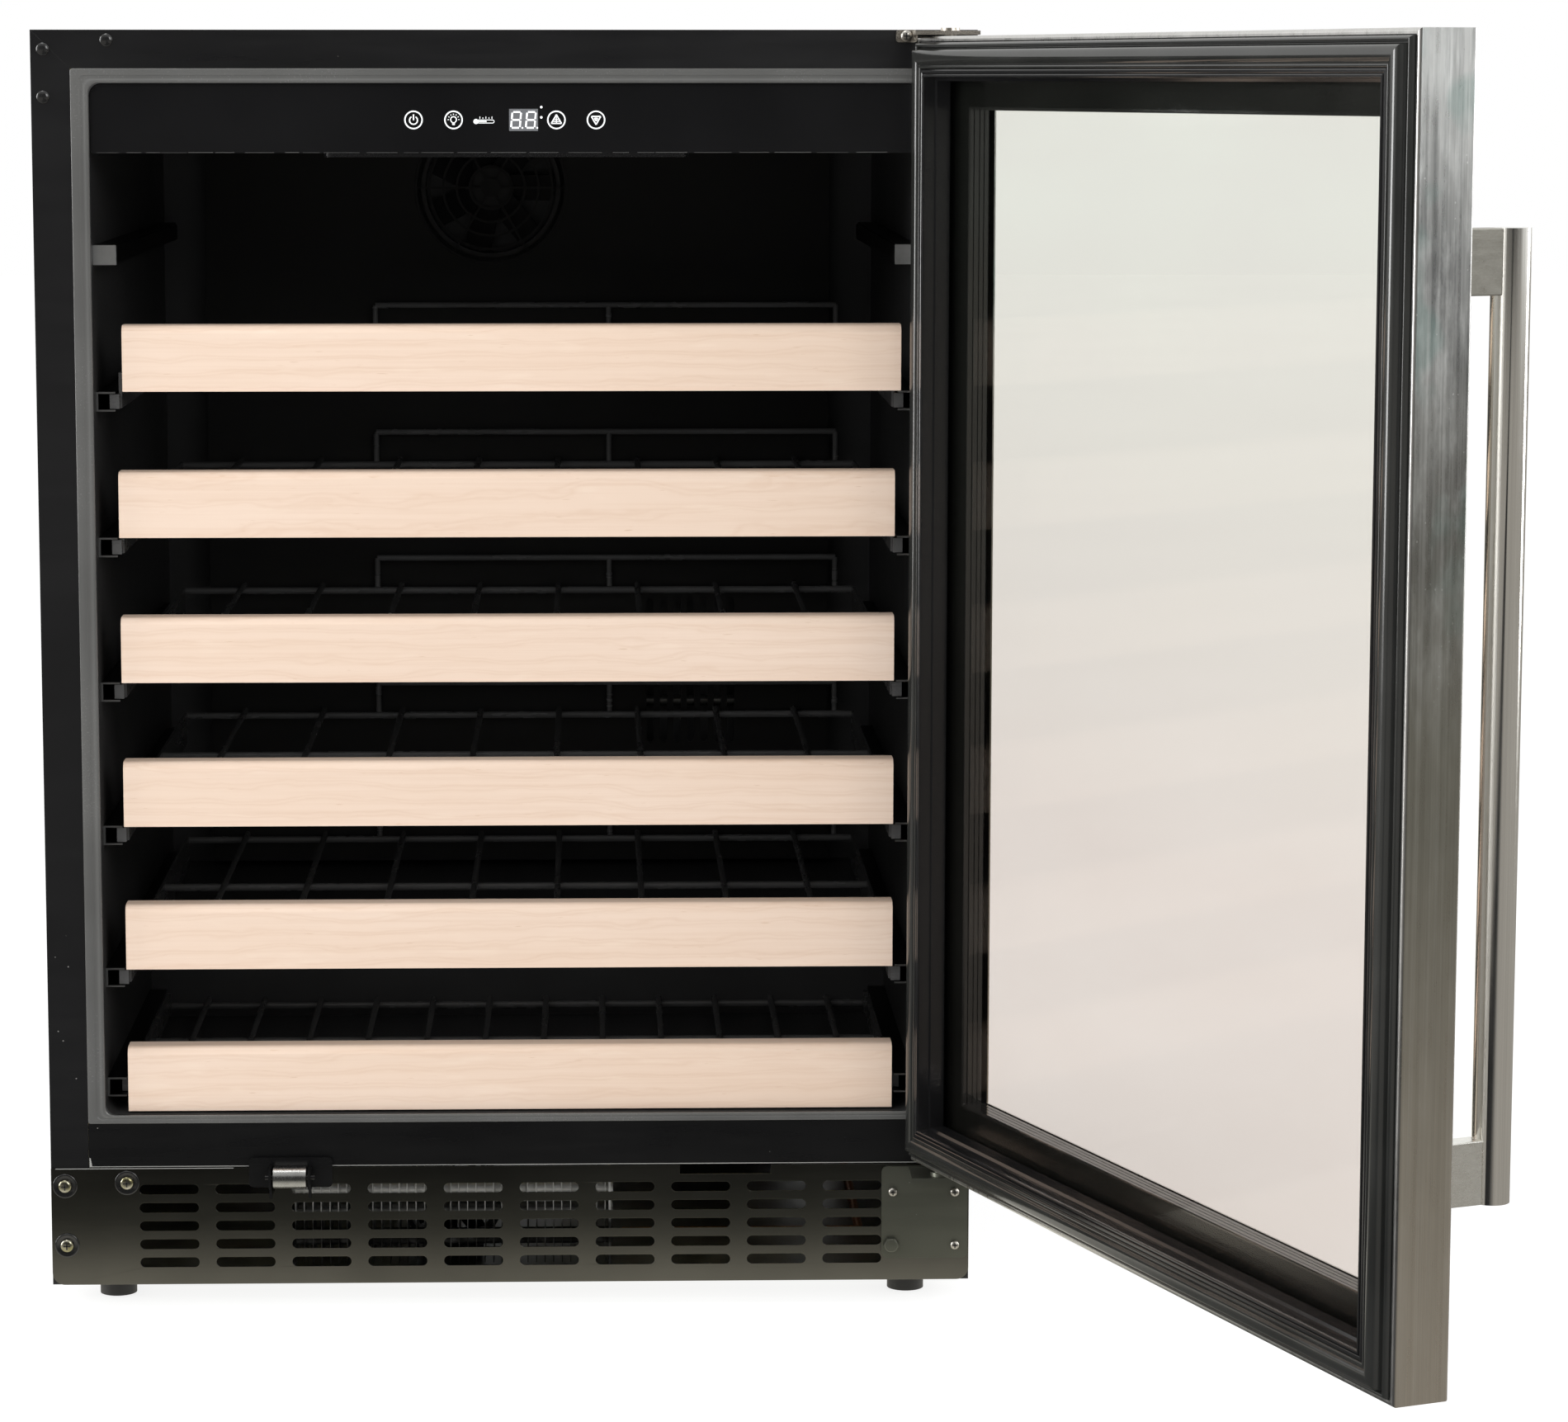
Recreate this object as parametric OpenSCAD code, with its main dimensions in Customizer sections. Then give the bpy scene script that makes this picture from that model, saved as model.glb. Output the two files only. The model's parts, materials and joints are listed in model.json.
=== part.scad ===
// Under-counter wine cooler, one glazed door standing open, six sliding shelves.
// Frame: X to the right seen from the front, -Y towards the user, Z up, floor at z = 0,
// origin on the floor under the middle of the cabinet body. All sizes in millimetres.

/* [Cabinet] */
// Width of the cabinet body
body_w = 595; // [592:1:598]
// Depth of the cabinet body without its door
body_d = 528; // [524:1:532]
// Height of the top of the cabinet above the floor
top_z = 822; // [821:1:824]
// Clearance under the cabinet, taken up by the feet
foot_h = 15; // [14:1:18]
// Thickness of the painted steel skin
skin = 1; // [0.8:0.1:1.2]
// Width of the steel band folded round the front
band_w = 24.5; // [24:0.5:25]

/* [Interior] */
// Clear width inside the liner
inner_w = 523; // [521:1:525]
// Height of the interior floor above the ground
inner_z = 127; // [126:1:128]
// Height of the interior ceiling above the ground
ceil_z = 788.7; // [788:0.1:790]
// Depth from the front plane to the back of the liner
inner_d = 492; // [490:1:494]
// Thickness of the plastic liner
liner_t = 2.5; // [2:0.5:3]
// Height of the moulded step over the compressor
step_z = 207.5; // [205:0.5:209]
// Distance of that step behind the front plane
step_y = 309.5; // [306:0.5:314]

/* [Control panel] */
// Height of the control fascia
panel_h = 43.7; // [42:0.1:45]
// Width of the display window
display_w = 18.4; // [16:0.1:20]
// Height of the display window
display_h = 14; // [12:0.5:16]

/* [Shelves] */
// Width of a wooden shelf front
wood_w = 494.5; // [492:0.5:496]
// Height of a wooden shelf front
wood_h = 42; // [40:1:44]
// Thickness of a wooden shelf front
wood_t = 18; // [16:1:20]
// Height of the lowest shelf front above the ground
first_z = 128.5; // [128.5:0.1:129]
// Height from one shelf to the next
shelf_pitch = 93.2; // [92.8:0.1:93.4]
// Diameter of the rack wires
wire_d = 4.4; // [4:0.2:5]

/* [Door] */
// Width of the door
door_w = 593; // [590:1:595]
// Height of the door
door_h = 720.2; // [719:0.1:721]
// Thickness of the steel door wrap
door_t = 34.2; // [33:0.2:35]
// Width of the steel border round the glass
border = 44; // [42:1:46]
// Angle that the door stands open
door_open = 111.3; // [0:0.1:114.3]

/* [Handle] */
// Diameter of the handle bar
bar_d = 21; // [19:1:24]
// Length of the handle bar
bar_l = 519; // [480:1:540]
// Distance of the bar's centre from the door's face
bar_off = 39.5; // [36:0.5:44]

/* [Hidden] */
$fn = 48;
eps = 0.01;
fy = -body_d / 2;
by = body_d / 2;
hw = body_w / 2;
iw = inner_w / 2;
fw = hw - band_w;
flange_lo = 121.5;
flange_hi = top_z - 24;
grille_top = 92.2;
door_gap = 10;
gasket_p = 8.8;
edge_to_pin = 18.17;
door_lo = 97.5;
door_hi = door_lo + door_h;
door_x1 = 296.5;
door_x0 = door_x1 - door_w;
door_in = fy - door_gap;
door_out = door_in - door_t;
hinge_x = door_x1 - edge_to_pin;
hinge_y = fy - 24.58;
fan_x = -19.5;
fan_z = 712;
fan_y = fy + 467;
cfan_x = -40;
cfan_z = 53;
cfan_y = fy + 66;
roller_x = -142.5;
roller_y = fy - 11.5;
roller_z = 88;
rail_in = iw - 12.2;
member_in = iw - 14.6;
foot_x = 259;
bay_n = 6;

// ---- helpers ----
module box(x0, x1, y0, y1, z0, z1) translate([x0, y0, z0]) cube([x1 - x0, y1 - y0, z1 - z0]);

// Bars along Y, Z and X with rounded long edges.
module rbox(x0, x1, y0, y1, z0, z1, r) {
  box(x0 + r, x1 - r, y0, y1, z0, z1);
  box(x0, x1, y0, y1, z0 + r, z1 - r);
  for (x = [x0 + r, x1 - r], z = [z0 + r, z1 - r]) ycyl(x, z, y0, y1, r);
}
module zbar(x0, x1, y0, y1, z0, z1, r) {
  box(x0 + r, x1 - r, y0, y1, z0, z1);
  box(x0, x1, y0 + r, y1 - r, z0, z1);
  for (x = [x0 + r, x1 - r], y = [y0 + r, y1 - r]) zcyl(x, y, z0, z1, r);
}
module xbar(x0, x1, y0, y1, z0, z1, r) {
  box(x0, x1, y0 + r, y1 - r, z0, z1);
  box(x0, x1, y0, y1, z0 + r, z1 - r);
  for (y = [y0 + r, y1 - r], z = [z0 + r, z1 - r]) xcyl(y, z, x0, x1, r);
}
module ycyl(x, z, y0, y1, r) translate([x, y0, z]) rotate([-90, 0, 0]) cylinder(h = y1 - y0, r = r);
module xcyl(y, z, x0, x1, r) translate([x0, y, z]) rotate([0, 90, 0]) cylinder(h = x1 - x0, r = r);
module zcyl(x, y, z0, z1, r) translate([x, y, z0]) cylinder(h = z1 - z0, r = r);

// Pan-headed screw on a face that looks along -Y, with a cross recess and a shank.
module pan_screw(x, z, y, r, washer, len) {
  difference() {
    union() {
      if (washer > 0) ycyl(x, z, y - 0.8, y, washer);
      ycyl(x, z, y - 2.6, y, r);
      ycyl(x, z, y - 3.2, y, r * 0.72);
      ycyl(x, z, y - 0.1, y + len, r * 0.42);
    }
    for (a = [0, 90]) translate([x, y - 3.3, z]) rotate([0, a, 0])
      translate([-r * 0.6, 0, -0.45]) cube([r * 1.2, 1.6, 0.9]);
  }
}

// Rectangular ring in the door's plane, inset s0 to s1 from the door's edges.
module door_ring(s0, s1, d0, d1) difference() {
  box(door_x0 + s0, door_x1 - s0, door_out + d0, door_out + d1, door_lo + s0, door_hi - s0);
  box(door_x0 + s1, door_x1 - s1, door_out + d0 - 1, door_out + d1 + 1, door_lo + s1, door_hi - s1);
}
module door_plate(s, d0, d1)
  box(door_x0 + s, door_x1 - s, door_out + d0, door_out + d1, door_lo + s, door_hi - s);

// Solid of the door's outline, inset by s, with all its folds rounded.
module folded(s, d0, d1, r) intersection() {
  zbar(door_x0 + s, door_x1 - s, door_out + d0, door_out + d1, door_lo + s, door_hi - s, r);
  xbar(door_x0 + s, door_x1 - s, door_out + d0, door_out + d1, door_lo + s, door_hi - s, r);
}

// Everything on the door is drawn closed and swung about the hinge pins.
module swing() translate([hinge_x, hinge_y, 0]) rotate([0, 0, door_open])
  translate([-hinge_x, -hinge_y, 0]) children();

function shelf_z(n) = first_z + (6 - n) * shelf_pitch;
function rail_z(n) = shelf_z(n) + (n == 6 ? 14 : -7);
function rail_len(n) = n == 6 ? 284 : 440;
function front_dx(n) = n == 1 ? 3.5 : 0;

// ---- cabinet ----
module outer_shell() color([0.07, 0.07, 0.08]) {
  difference() {
    box(-hw, hw, fy, by, foot_h, top_z);
    box(-hw + skin, hw - skin, fy - 1, by + 1, foot_h - 1, top_z - skin);
  }
  for (s = [-1, 1]) box(s > 0 ? fw : -hw + eps, s > 0 ? hw - eps : -fw, fy, fy + skin, foot_h, top_z - eps);
  box(-fw - eps, fw + eps, fy, fy + skin, flange_hi, top_z - eps);
}

module cross_rail() color([0.06, 0.06, 0.07]) {
  box(-fw + 0.2, fw - 0.2, fy, fy + 1.2, grille_top + 0.4, flange_lo - 0.2);
  box(-fw + 0.2, fw - 0.2, fy, fy + 18, grille_top + 0.4, grille_top + 1.6);
}

module inner_liner() color([0.1, 0.1, 0.1]) difference() {
  union() {
    rbox(-fw + 0.1, fw - 0.1, fy, fy + 1.6, flange_lo, flange_hi - 0.1, 1.5);
    difference() {
      rbox(-iw - liner_t, iw + liner_t, fy + 0.5, fy + inner_d + liner_t,
        inner_z - liner_t, ceil_z + liner_t, 8 + liner_t);
      box(-hw, hw, fy + step_y + liner_t, by, inner_z - 10, step_z - liner_t);
    }
  }
  difference() {
    rbox(-iw, iw, fy - 1, fy + inner_d, inner_z, ceil_z, 8);
    box(-hw, hw, fy + step_y, by, inner_z - 10, step_z);
  }
}

module foam_insulation() color([0.85, 0.78, 0.5]) difference() {
  box(-hw + skin + 0.2, hw - skin - 0.2, fy + 2, by - 1.5, inner_z - 34, top_z - skin - 0.2);
  difference() {
    rbox(-iw - liner_t - 0.3, iw + liner_t + 0.3, fy, fy + inner_d + liner_t + 0.3,
      inner_z - liner_t - 0.3, ceil_z + liner_t + 0.3, 8.3 + liner_t);
    box(-hw, hw, fy + step_y + liner_t + 0.3, by, inner_z - 10, step_z - liner_t - 0.3);
  }
  box(-hw - 1, hw + 1, fy + 280, by + 1, foot_h, 172);
  box(-hw - 1, hw + 1, fy, fy + 19, foot_h, grille_top + 2);
}

module rear_panel() color([0.25, 0.26, 0.27])
  box(-hw + skin + 0.1, hw - skin - 0.1, by - 1.2, by, 172, top_z - skin - 0.1);

module machine_cover() color([0.2, 0.2, 0.21]) difference() {
  box(-hw + skin + 0.1, hw - skin - 0.1, by - 1.2, by, foot_h + 2, 171.8);
  for (i = [0 : 9], j = [0 : 4])
    rbox(-60 + i * 30, -38 + i * 30, by - 3, by + 2, 50 + j * 20, 55 + j * 20, 2.4);
  ycyl(-200, 60, by - 3, by + 2, 8);
}

module base_pan() color([0.3, 0.31, 0.32]) difference() {
  union() {
    box(-hw + skin + 0.1, hw - skin - 0.1, fy + 2, by - 1.5, foot_h, foot_h + 1.5);
    for (s = [-1, 1]) box(s > 0 ? hw - skin - 1.6 : -hw + skin + 0.1,
      s > 0 ? hw - skin - 0.1 : -hw + skin + 1.6, fy + 2, by - 1.5, foot_h, foot_h + 14);
    for (x = [-foot_x, foot_x], y = [fy + 38, by - 38]) zcyl(x, y, foot_h, foot_h + 10, 9);
  }
  for (x = [-foot_x, foot_x], y = [fy + 38, by - 38]) zcyl(x, y, foot_h - 1, foot_h + 11, 4.1);
}

module kick_grille() color([0.2, 0.2, 0.19]) difference() {
  union() {
    rbox(-hw, hw, fy - 1.2, fy - 0.05, foot_h, grille_top, 8);
    box(-hw, hw, fy - 1.2, fy - 0.05, 60, grille_top);
  }
  for (i = [0 : 9], j = [0 : 4]) let (x = (i - 4.5) * 49.2, z = 29.6 + j * 12.07)
    rbox(x - 19.1, x + 19.1, fy - 3, fy + 2, z - 3.25, z + 3.25, 3.2);
  box(109.5, 168.5, fy - 3, fy + 2, grille_top - 6, grille_top + 1);
}

module cover_screws() color([0.5, 0.5, 0.5]) {
  pan_screw(-288.4, 80.7, fy - 1.2, 4.6, 7.4, 8);
  pan_screw(-248.4, 82.6, fy - 1.2, 4.6, 7.4, 8);
  pan_screw(-287.7, 41.3, fy - 1.2, 4.6, 7.4, 8);
}

module front_plugs() color([0.05, 0.05, 0.05])
  for (p = [[-289.7, 809.9], [-290, 780.1], [-249.9, 815.5]]) {
    ycyl(p[0], p[1], fy - 0.4, fy, 3.8);
    ycyl(p[0], p[1], fy - 0.8, fy, 2.6);
  }

// ---- control panel ----
module control_housing() color([0.04, 0.04, 0.05]) difference() {
  intersection() {
    rbox(-iw + 0.3, iw - 0.3, fy + 4, fy + 72, inner_z, ceil_z - 0.3, 7.8);
    difference() {
      box(-iw, iw, fy + 4, fy + 72, ceil_z - panel_h, ceil_z);
      box(-iw + 3, iw - 3, fy + 7, fy + 69.5, ceil_z - panel_h + 2.5, ceil_z + 1);
    }
  }
  box(2.2, 2.2 + display_w, fy + 3, fy + 8, 758.7, 758.7 + display_h);
}
module display_window() color([0.5, 0.5, 0.5])
  box(2.3, 2.1 + display_w, fy + 4, fy + 7, 758.8, 758.6 + display_h);
module control_board() color([0.1, 0.35, 0.15]) {
  box(-70, 90, fy + 10, fy + 11.6, 750, 784);
  box(2, 21, fy + 7.2, fy + 10, 758, 773);
  for (x = [-58, -33, 32, 57]) zcyl(x, fy + 13.5, 752, 758, 1.8);
  box(-60, -20, fy + 11.6, fy + 20, 768, 780);
}
module interior_light() color([0.9, 0.9, 0.85]) {
  box(-110, 110, fy + 24, fy + 36, ceil_z - panel_h - 3, ceil_z - panel_h - 0.05);
  for (s = [-1, 1]) zcyl(s * 110, fy + 30, ceil_z - panel_h - 3, ceil_z - panel_h - 0.05, 6);
}

// ---- cold side ----
module duct_cover() color([0.08, 0.08, 0.08]) difference() {
  box(-228.5, 228.5, fy + 462, fy + inner_d - 0.2, step_z + 5, ceil_z - 3);
  box(-226.5, 226.5, fy + 464, fy + inner_d + 1, step_z + 7, ceil_z - 5);
  ycyl(fan_x, fan_z, fy + 460, fy + 466, 56);
  for (i = [0 : 6]) rbox(94 + i * 10, 99.4 + i * 10, fy + 460, fy + 466, 301, 409, 2.6);
}
module fan_guard() color([0.05, 0.05, 0.05]) {
  for (r = [14, 24, 34, 44, 54]) difference() {
    ycyl(fan_x, fan_z, fy + 462.2, fy + 463.8, r + 1.8);
    ycyl(fan_x, fan_z, fy + 461, fy + 465, r);
  }
  for (a = [0 : 60 : 300]) translate([fan_x, fy + 462.2, fan_z]) rotate([0, a, 0])
    translate([4, 0, -0.8]) cube([51, 1.6, 1.6]);
  ycyl(fan_x, fan_z, fy + 462.2, fy + 463.8, 7);
}
module evaporator() color([0.7, 0.72, 0.74]) {
  for (j = [0 : 5]) xcyl(fy + 478, 330 + j * 52, -196, 196, 4);
  for (i = [0 : 12]) box(-180.4 + i * 30, -179.6 + i * 30, fy + 468, fy + 488, 315, 605);
  for (j = [0 : 2 : 4], s = [1]) zcyl(s * 192, fy + 478, 330 + j * 52, 382 + j * 52, 3.9);
  for (j = [1 : 2 : 3]) zcyl(-192, fy + 478, 330 + j * 52, 382 + j * 52, 3.9);
}

// Axial fan: hub with a blind bore for its shaft, and seven pitched blades.
module impeller(x, z, y, r, bore) difference() {
  union() {
    ycyl(x, z, y, y + 12, r * 0.36);
    for (a = [0 : 360 / 7 : 359]) translate([x, y + 6, z]) rotate([0, a, 0])
      translate([r * 0.3, 0, 0]) rotate([32, 0, 0])
        translate([0, -0.7, -r * 0.24]) cube([r * 0.66, 1.4, r * 0.48]);
  }
  ycyl(x, z, y + 3, y + 13, bore);
}
module fan_body(x, z, y, r, shaft) {
  difference() {
    ycyl(x, z, y - 1, y + 20, r + 5);
    ycyl(x, z, y - 2, y + 21, r + 2);
  }
  ycyl(x, z, y + 14, y + 20, r * 0.34);
  ycyl(x, z, y + 4, y + 15, shaft);
  for (a = [90, 210, 330]) translate([x, y + 15, z]) rotate([0, a, 0])
    translate([r * 0.3, 0, -2.5]) cube([r * 0.7 + 3.5, 4, 5]);
}
module evap_fan_frame() color([0.12, 0.12, 0.12]) fan_body(fan_x, fan_z, fan_y, 46, 1.5);
module evap_fan() color([0.75, 0.76, 0.78]) impeller(fan_x, fan_z, fan_y, 46, 1.55);

// ---- warm side ----
module condenser() color([0.55, 0.56, 0.55]) {
  for (i = [0 : 17]) box(-142 + i * 12, -141.4 + i * 12, fy + 14, fy + 48, 24, 86);
  for (y = [fy + 23, fy + 39], z = [38, 55, 72]) xcyl(y, z, -146, 66, 3.4);
  box(-145, -143.5, fy + 12, fy + 50, 16.6, 88);
  box(63.5, 65, fy + 12, fy + 50, 16.6, 88);
}
module condenser_fan_frame() color([0.1, 0.1, 0.1]) {
  fan_body(cfan_x, cfan_z, cfan_y, 28, 1.5);
  box(cfan_x - 20, cfan_x + 20, cfan_y + 2, cfan_y + 18, foot_h + 1.6, cfan_z - 31);
}
module condenser_fan() color([0.8, 0.8, 0.8]) impeller(cfan_x, cfan_z, cfan_y, 28, 1.55);
module compressor() color([0.05, 0.05, 0.05]) {
  translate([130, 150, 0]) rotate_extrude() polygon([[0, 30], [50, 30], [62, 36], [65, 44],
    [65, 78], [67.5, 79], [67.5, 83], [65, 84], [65, 120], [62, 132], [52, 142], [30, 149], [0, 151]]);
  difference() {
    box(40, 220, 90, 210, 26, 30.2);
    for (x = [52, 208], y = [102, 198]) zcyl(x, y, 20, 34, 5);
  }
  box(30, 66, 128, 172, 60, 110);
}
module compressor_mounts() color([0.04, 0.04, 0.04])
  for (x = [52, 208], y = [102, 198]) {
    zcyl(x, y, foot_h + 1.55, 25.9, 10);
    zcyl(x, y, 25.8, 30.2, 4.8);
    zcyl(x, y, 30.25, 33, 8);
  }
module pipework() color([0.72, 0.42, 0.25]) {
  zcyl(175, 130, 144.5, 158, 3);
  translate([228, 130, 158]) sphere(r = 3);
  translate([175, 130, 158]) sphere(r = 3);
  xcyl(130, 158, 175, 228, 3);
  zcyl(228, 130, 40, 158, 3);
  translate([228, 130, 40]) sphere(r = 3);
  ycyl(228, 40, fy + 30, 130, 3);
  translate([228, fy + 30, 40]) sphere(r = 3);
  xcyl(fy + 30, 40, 72, 228, 3);
}
// Strain-relief bush where the supply cord would leave the rear cover.
module cord_gland() color([0.05, 0.05, 0.05]) difference() {
  union() {
    ycyl(-200, 60, by - 5, by - 1.25, 11);
    ycyl(-200, 60, by - 12, by, 7.9);
  }
  ycyl(-200, 60, by - 13, by + 1, 4);
}

// ---- hinges and door rest ----
module top_hinge() color([0.75, 0.73, 0.68]) {
  difference() {
    rbox(246, 259.5, fy - 2.4, fy - 0.05, 814.2, top_z, 2);
    ycyl(252.4, 818, fy - 3, fy + 1, 2.1);
  }
  box(256, 296.5, fy - 33, fy - 0.05, 818.7, 821.2);
  zcyl(hinge_x, hinge_y, 806, 819, 4);
  zcyl(hinge_x, hinge_y, 821, 823, 6);
}
module bottom_hinge() color([0.42, 0.43, 0.4]) {
  difference() {
    rbox(240.5, 296.5, fy - 3.8, fy - 1.25, 30, 91, 4);
    for (p = [[246.8, 39.1], [288.2, 38.8], [247.7, 74.3], [288, 74]])
      ycyl(p[0], p[1], fy - 5, fy, 2.1);
  }
  box(258, 296.5, fy - 34, fy - 3.7, 87.5, 90.5);
  zcyl(hinge_x, hinge_y, 90, 108, 4);
  zcyl(hinge_x, hinge_y, 90, 93, 8);
  zcyl(hinge_x, hinge_y, 92.9, 97.2, 6);
}
module hinge_screws() color([0.6, 0.6, 0.6]) {
  pan_screw(252.4, 818, fy - 2.4, 3.7, 0, 8);
  translate([246.8, fy - 3.8, 39.1]) rotate([90, 0, 0]) cylinder(h = 3.4, r = 5.2, $fn = 6);
  ycyl(246.8, 39.1, fy - 3.9, fy + 8, 2);
  pan_screw(288.2, 38.8, fy - 3.8, 3, 0, 8);
  pan_screw(247.7, 74.3, fy - 3.8, 3, 0, 8);
  pan_screw(288, 74, fy - 3.8, 3, 0, 8);
}
module roller_bracket() color([0.12, 0.12, 0.12]) {
  rbox(roller_x - 27, roller_x + 27, fy - 3.2, fy - 1.25, 79.5, 99, 3);
  for (s = [-1, 1]) {
    box(roller_x + s * 12.6 - 0.8, roller_x + s * 12.6 + 0.8, fy - 18, fy - 3, 81.5, 94.5);
    box(roller_x + s * 12.6 - 0.8, roller_x + s * 12.6 + 0.8, fy - 10, fy - 3, 73.6, 82);
  }
  xcyl(roller_y, roller_z, roller_x - 16, roller_x + 16, 1.5);
}
module support_roller() color([0.8, 0.8, 0.78]) difference() {
  xcyl(roller_y, roller_z, roller_x - 10.5, roller_x + 10.5, 7);
  xcyl(roller_y, roller_z, roller_x - 12, roller_x + 12, 1.56);
}

// ---- feet ----
module levelling_feet() color([0.05, 0.05, 0.05])
  for (x = [-foot_x, foot_x], y = [fy + 38, by - 38]) {
    zcyl(x, y, 0, 9, 12);
    zcyl(x, y, 8.9, 11, 10.6);
    zcyl(x, y, 10.9, foot_h - 0.3, 6.5);
    zcyl(x, y, foot_h - 0.4, foot_h + 27, 4);
  }

// ---- shelves ----
module fixed_rails() color([0.62, 0.63, 0.64]) {
  for (n = [0 : bay_n], s = [-1, 1]) let (z = rail_z(n), l = rail_len(n))
    scale([s, 1, 1]) difference() {
      box(rail_in, iw - 0.1, fy + 14, fy + 14 + l, z - 6.25, z + 6.25);
      box(rail_in - 1, iw - 1.4, fy + 12, fy + 16 + l, z - 5.1, z + 5.1);
    }
  for (s = [-1, 1]) scale([s, 1, 1]) {
    box(member_in + 0.4, iw - 1.2, fy + 12, fy + 440, rail_z(0) - 5.2, rail_z(0) + 5.2);
    box(member_in, iw - 0.1, fy + 10, fy + 14.1, rail_z(0) - 6.25, rail_z(0) + 6.25);
  }
}

module shelf_front(n) color([0.94, 0.84, 0.73])
  translate([front_dx(n), 0, 0]) {
    box(-wood_w / 2, wood_w / 2, fy + 5, fy + 5 + wood_t, shelf_z(n), shelf_z(n) + wood_h - 5);
    box(-wood_w / 2, wood_w / 2, fy + 10, fy + 5 + wood_t, shelf_z(n), shelf_z(n) + wood_h);
    xcyl(fy + 10, shelf_z(n) + wood_h - 5, -wood_w / 2, wood_w / 2, 5);
  }

// Wire rack with the moving half of its two slides along the sides. The slides and the back
// stop are tacked to the grid, so a hair's gap is left at each tack.
module shelf_rack(n) color([0.06, 0.06, 0.06]) {
  zb = shelf_z(n) + 8;
  back = fy + (n == 6 ? 298 : 454);
  y0 = fy + 5.05 + wood_t;
  half = n == 6 ? 220 : 203;
  step = n == 6 ? 40 : 58;
  l = rail_len(n);
  for (s = [-1, 1]) scale([s, 1, 1]) {
    box(member_in - 1, member_in + 1, y0, fy + 8 + l, min(rail_z(n) - 4.6, zb - 3),
      max(rail_z(n) + 4.6, zb + 3));
    box(member_in, iw - 8.5, n == 6 ? y0 : fy + 16, fy + 8 + l, rail_z(n) - 4.6, rail_z(n) + 4.6);
  }
  for (y = [fy + 60, (fy + 60 + back) / 2, back])
    xcyl(y, zb, -member_in + 1.05, member_in - 1.05, wire_d / 2 + 0.4);
  for (x = [-half : step : half])
    ycyl(x, zb + wire_d - 0.4, y0, back + wire_d / 2, wire_d / 2);
  if (n < 6) {
    xcyl(back + 1, zb + 24, -104.5, 233.5, wire_d / 2);
    for (x = [-104.5, 66.5, 233.5]) zcyl(x, back + 1, zb + wire_d / 2 + 0.5, zb + 24, wire_d / 2 - 0.1);
  }
}
module shelf_front_1() shelf_front(1);
module shelf_front_2() shelf_front(2);
module shelf_front_3() shelf_front(3);
module shelf_front_4() shelf_front(4);
module shelf_front_5() shelf_front(5);
module shelf_front_6() shelf_front(6);
module shelf_rack_1() shelf_rack(1);
module shelf_rack_2() shelf_rack(2);
module shelf_rack_3() shelf_rack(3);
module shelf_rack_4() shelf_rack(4);
module shelf_rack_5() shelf_rack(5);
module shelf_rack_6() shelf_rack(6);

// ---- door ----
module pin_hole(r, z0, z1) zcyl(hinge_x, hinge_y, z0, z1, r);
module door_frame() color([0.72, 0.71, 0.7]) swing() difference() {
  folded(0, 0, door_t, 2);
  folded(1, 1, door_t - 1, 1);
  door_plate(border, -1, 3);
  door_plate(3.2, door_t - 2, door_t + 1);
  pin_hole(7.3, door_lo - 2, door_lo + 3);
  pin_hole(7.3, door_hi - 3, door_hi + 2);
  for (z = post_z()) ycyl(bar_x(), z, door_out - 1, door_out + 2, 2.6);
}
module door_core() color([0.3, 0.3, 0.3]) swing() difference() {
  door_ring(1.4, 34.5, 1.4, 18.8);
  door_ring(30.2, 40, 0, 5.6);
  door_ring(14, 40, 5.5, 20);
  pin_hole(7.1, door_lo - 2, door_lo + 20);
  pin_hole(7.1, door_hi - 20, door_hi + 2);
  for (z = post_z()) ycyl(bar_x(), z, door_out - 1, door_out + 5, 4.2);
}
module door_liner() color([0.06, 0.06, 0.06]) swing() difference() {
  union() {
    door_ring(1.4, 28, 23.6, 32.9);
    door_ring(20.4, 28, 32, door_t + gasket_p - 1.2);
  }
  door_ring(10.6, 15.4, 29.4, 34);
  pin_hole(7.1, door_lo - 2, door_lo + 20);
  pin_hole(7.1, door_hi - 20, door_hi + 2);
}
module door_gasket() color([0.2, 0.2, 0.2]) swing() {
  door_ring(3.8, 7, 33.1, door_t + 3.6);
  door_ring(3.9, 20.2, 33.1, 34.6);
  door_ring(8, 20.2, 33.1, door_t + gasket_p - 1.8);
  door_ring(12, 19.2, 33.2, door_t + gasket_p);
  door_ring(11, 15, 29.8, 33.4);
}
module glass_outer() color([0.8, 0.85, 0.83, 0.3]) swing() door_plate(34.7, 1.2, 5.2);
module glass_inner() color([0.8, 0.85, 0.83, 0.3]) swing() door_plate(16, 19.2, 23.4);
module glass_spacer() color([0.7, 0.7, 0.7]) swing() door_ring(37.5, 45.5, 5.3, 19.1);
function bar_x() = door_x0 + 26;
function post_z() = [door_lo + 98.5 + 17.5, door_lo + 98.5 + bar_l - 17.5];
module handle_bar() color([0.75, 0.75, 0.74]) swing() difference() {
  zcyl(bar_x(), door_out - bar_off, door_lo + 98.5, door_lo + 98.5 + bar_l, bar_d / 2);
  for (z = post_z()) ycyl(bar_x(), z, door_out - bar_off - 1, door_out, 2.4);
}
module handle_posts() color([0.72, 0.72, 0.71]) swing() difference() {
  for (z = post_z()) box(bar_x() - 6, bar_x() + 6, door_out - bar_off + 2, door_out - 0.05, z - 17.5, z + 17.5);
  zcyl(bar_x(), door_out - bar_off, door_lo + 90, door_lo + 110 + bar_l, bar_d / 2 + 0.05);
  for (z = post_z()) ycyl(bar_x(), z, door_out - bar_off - 2, door_out + 1, 2.4);
}
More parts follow.
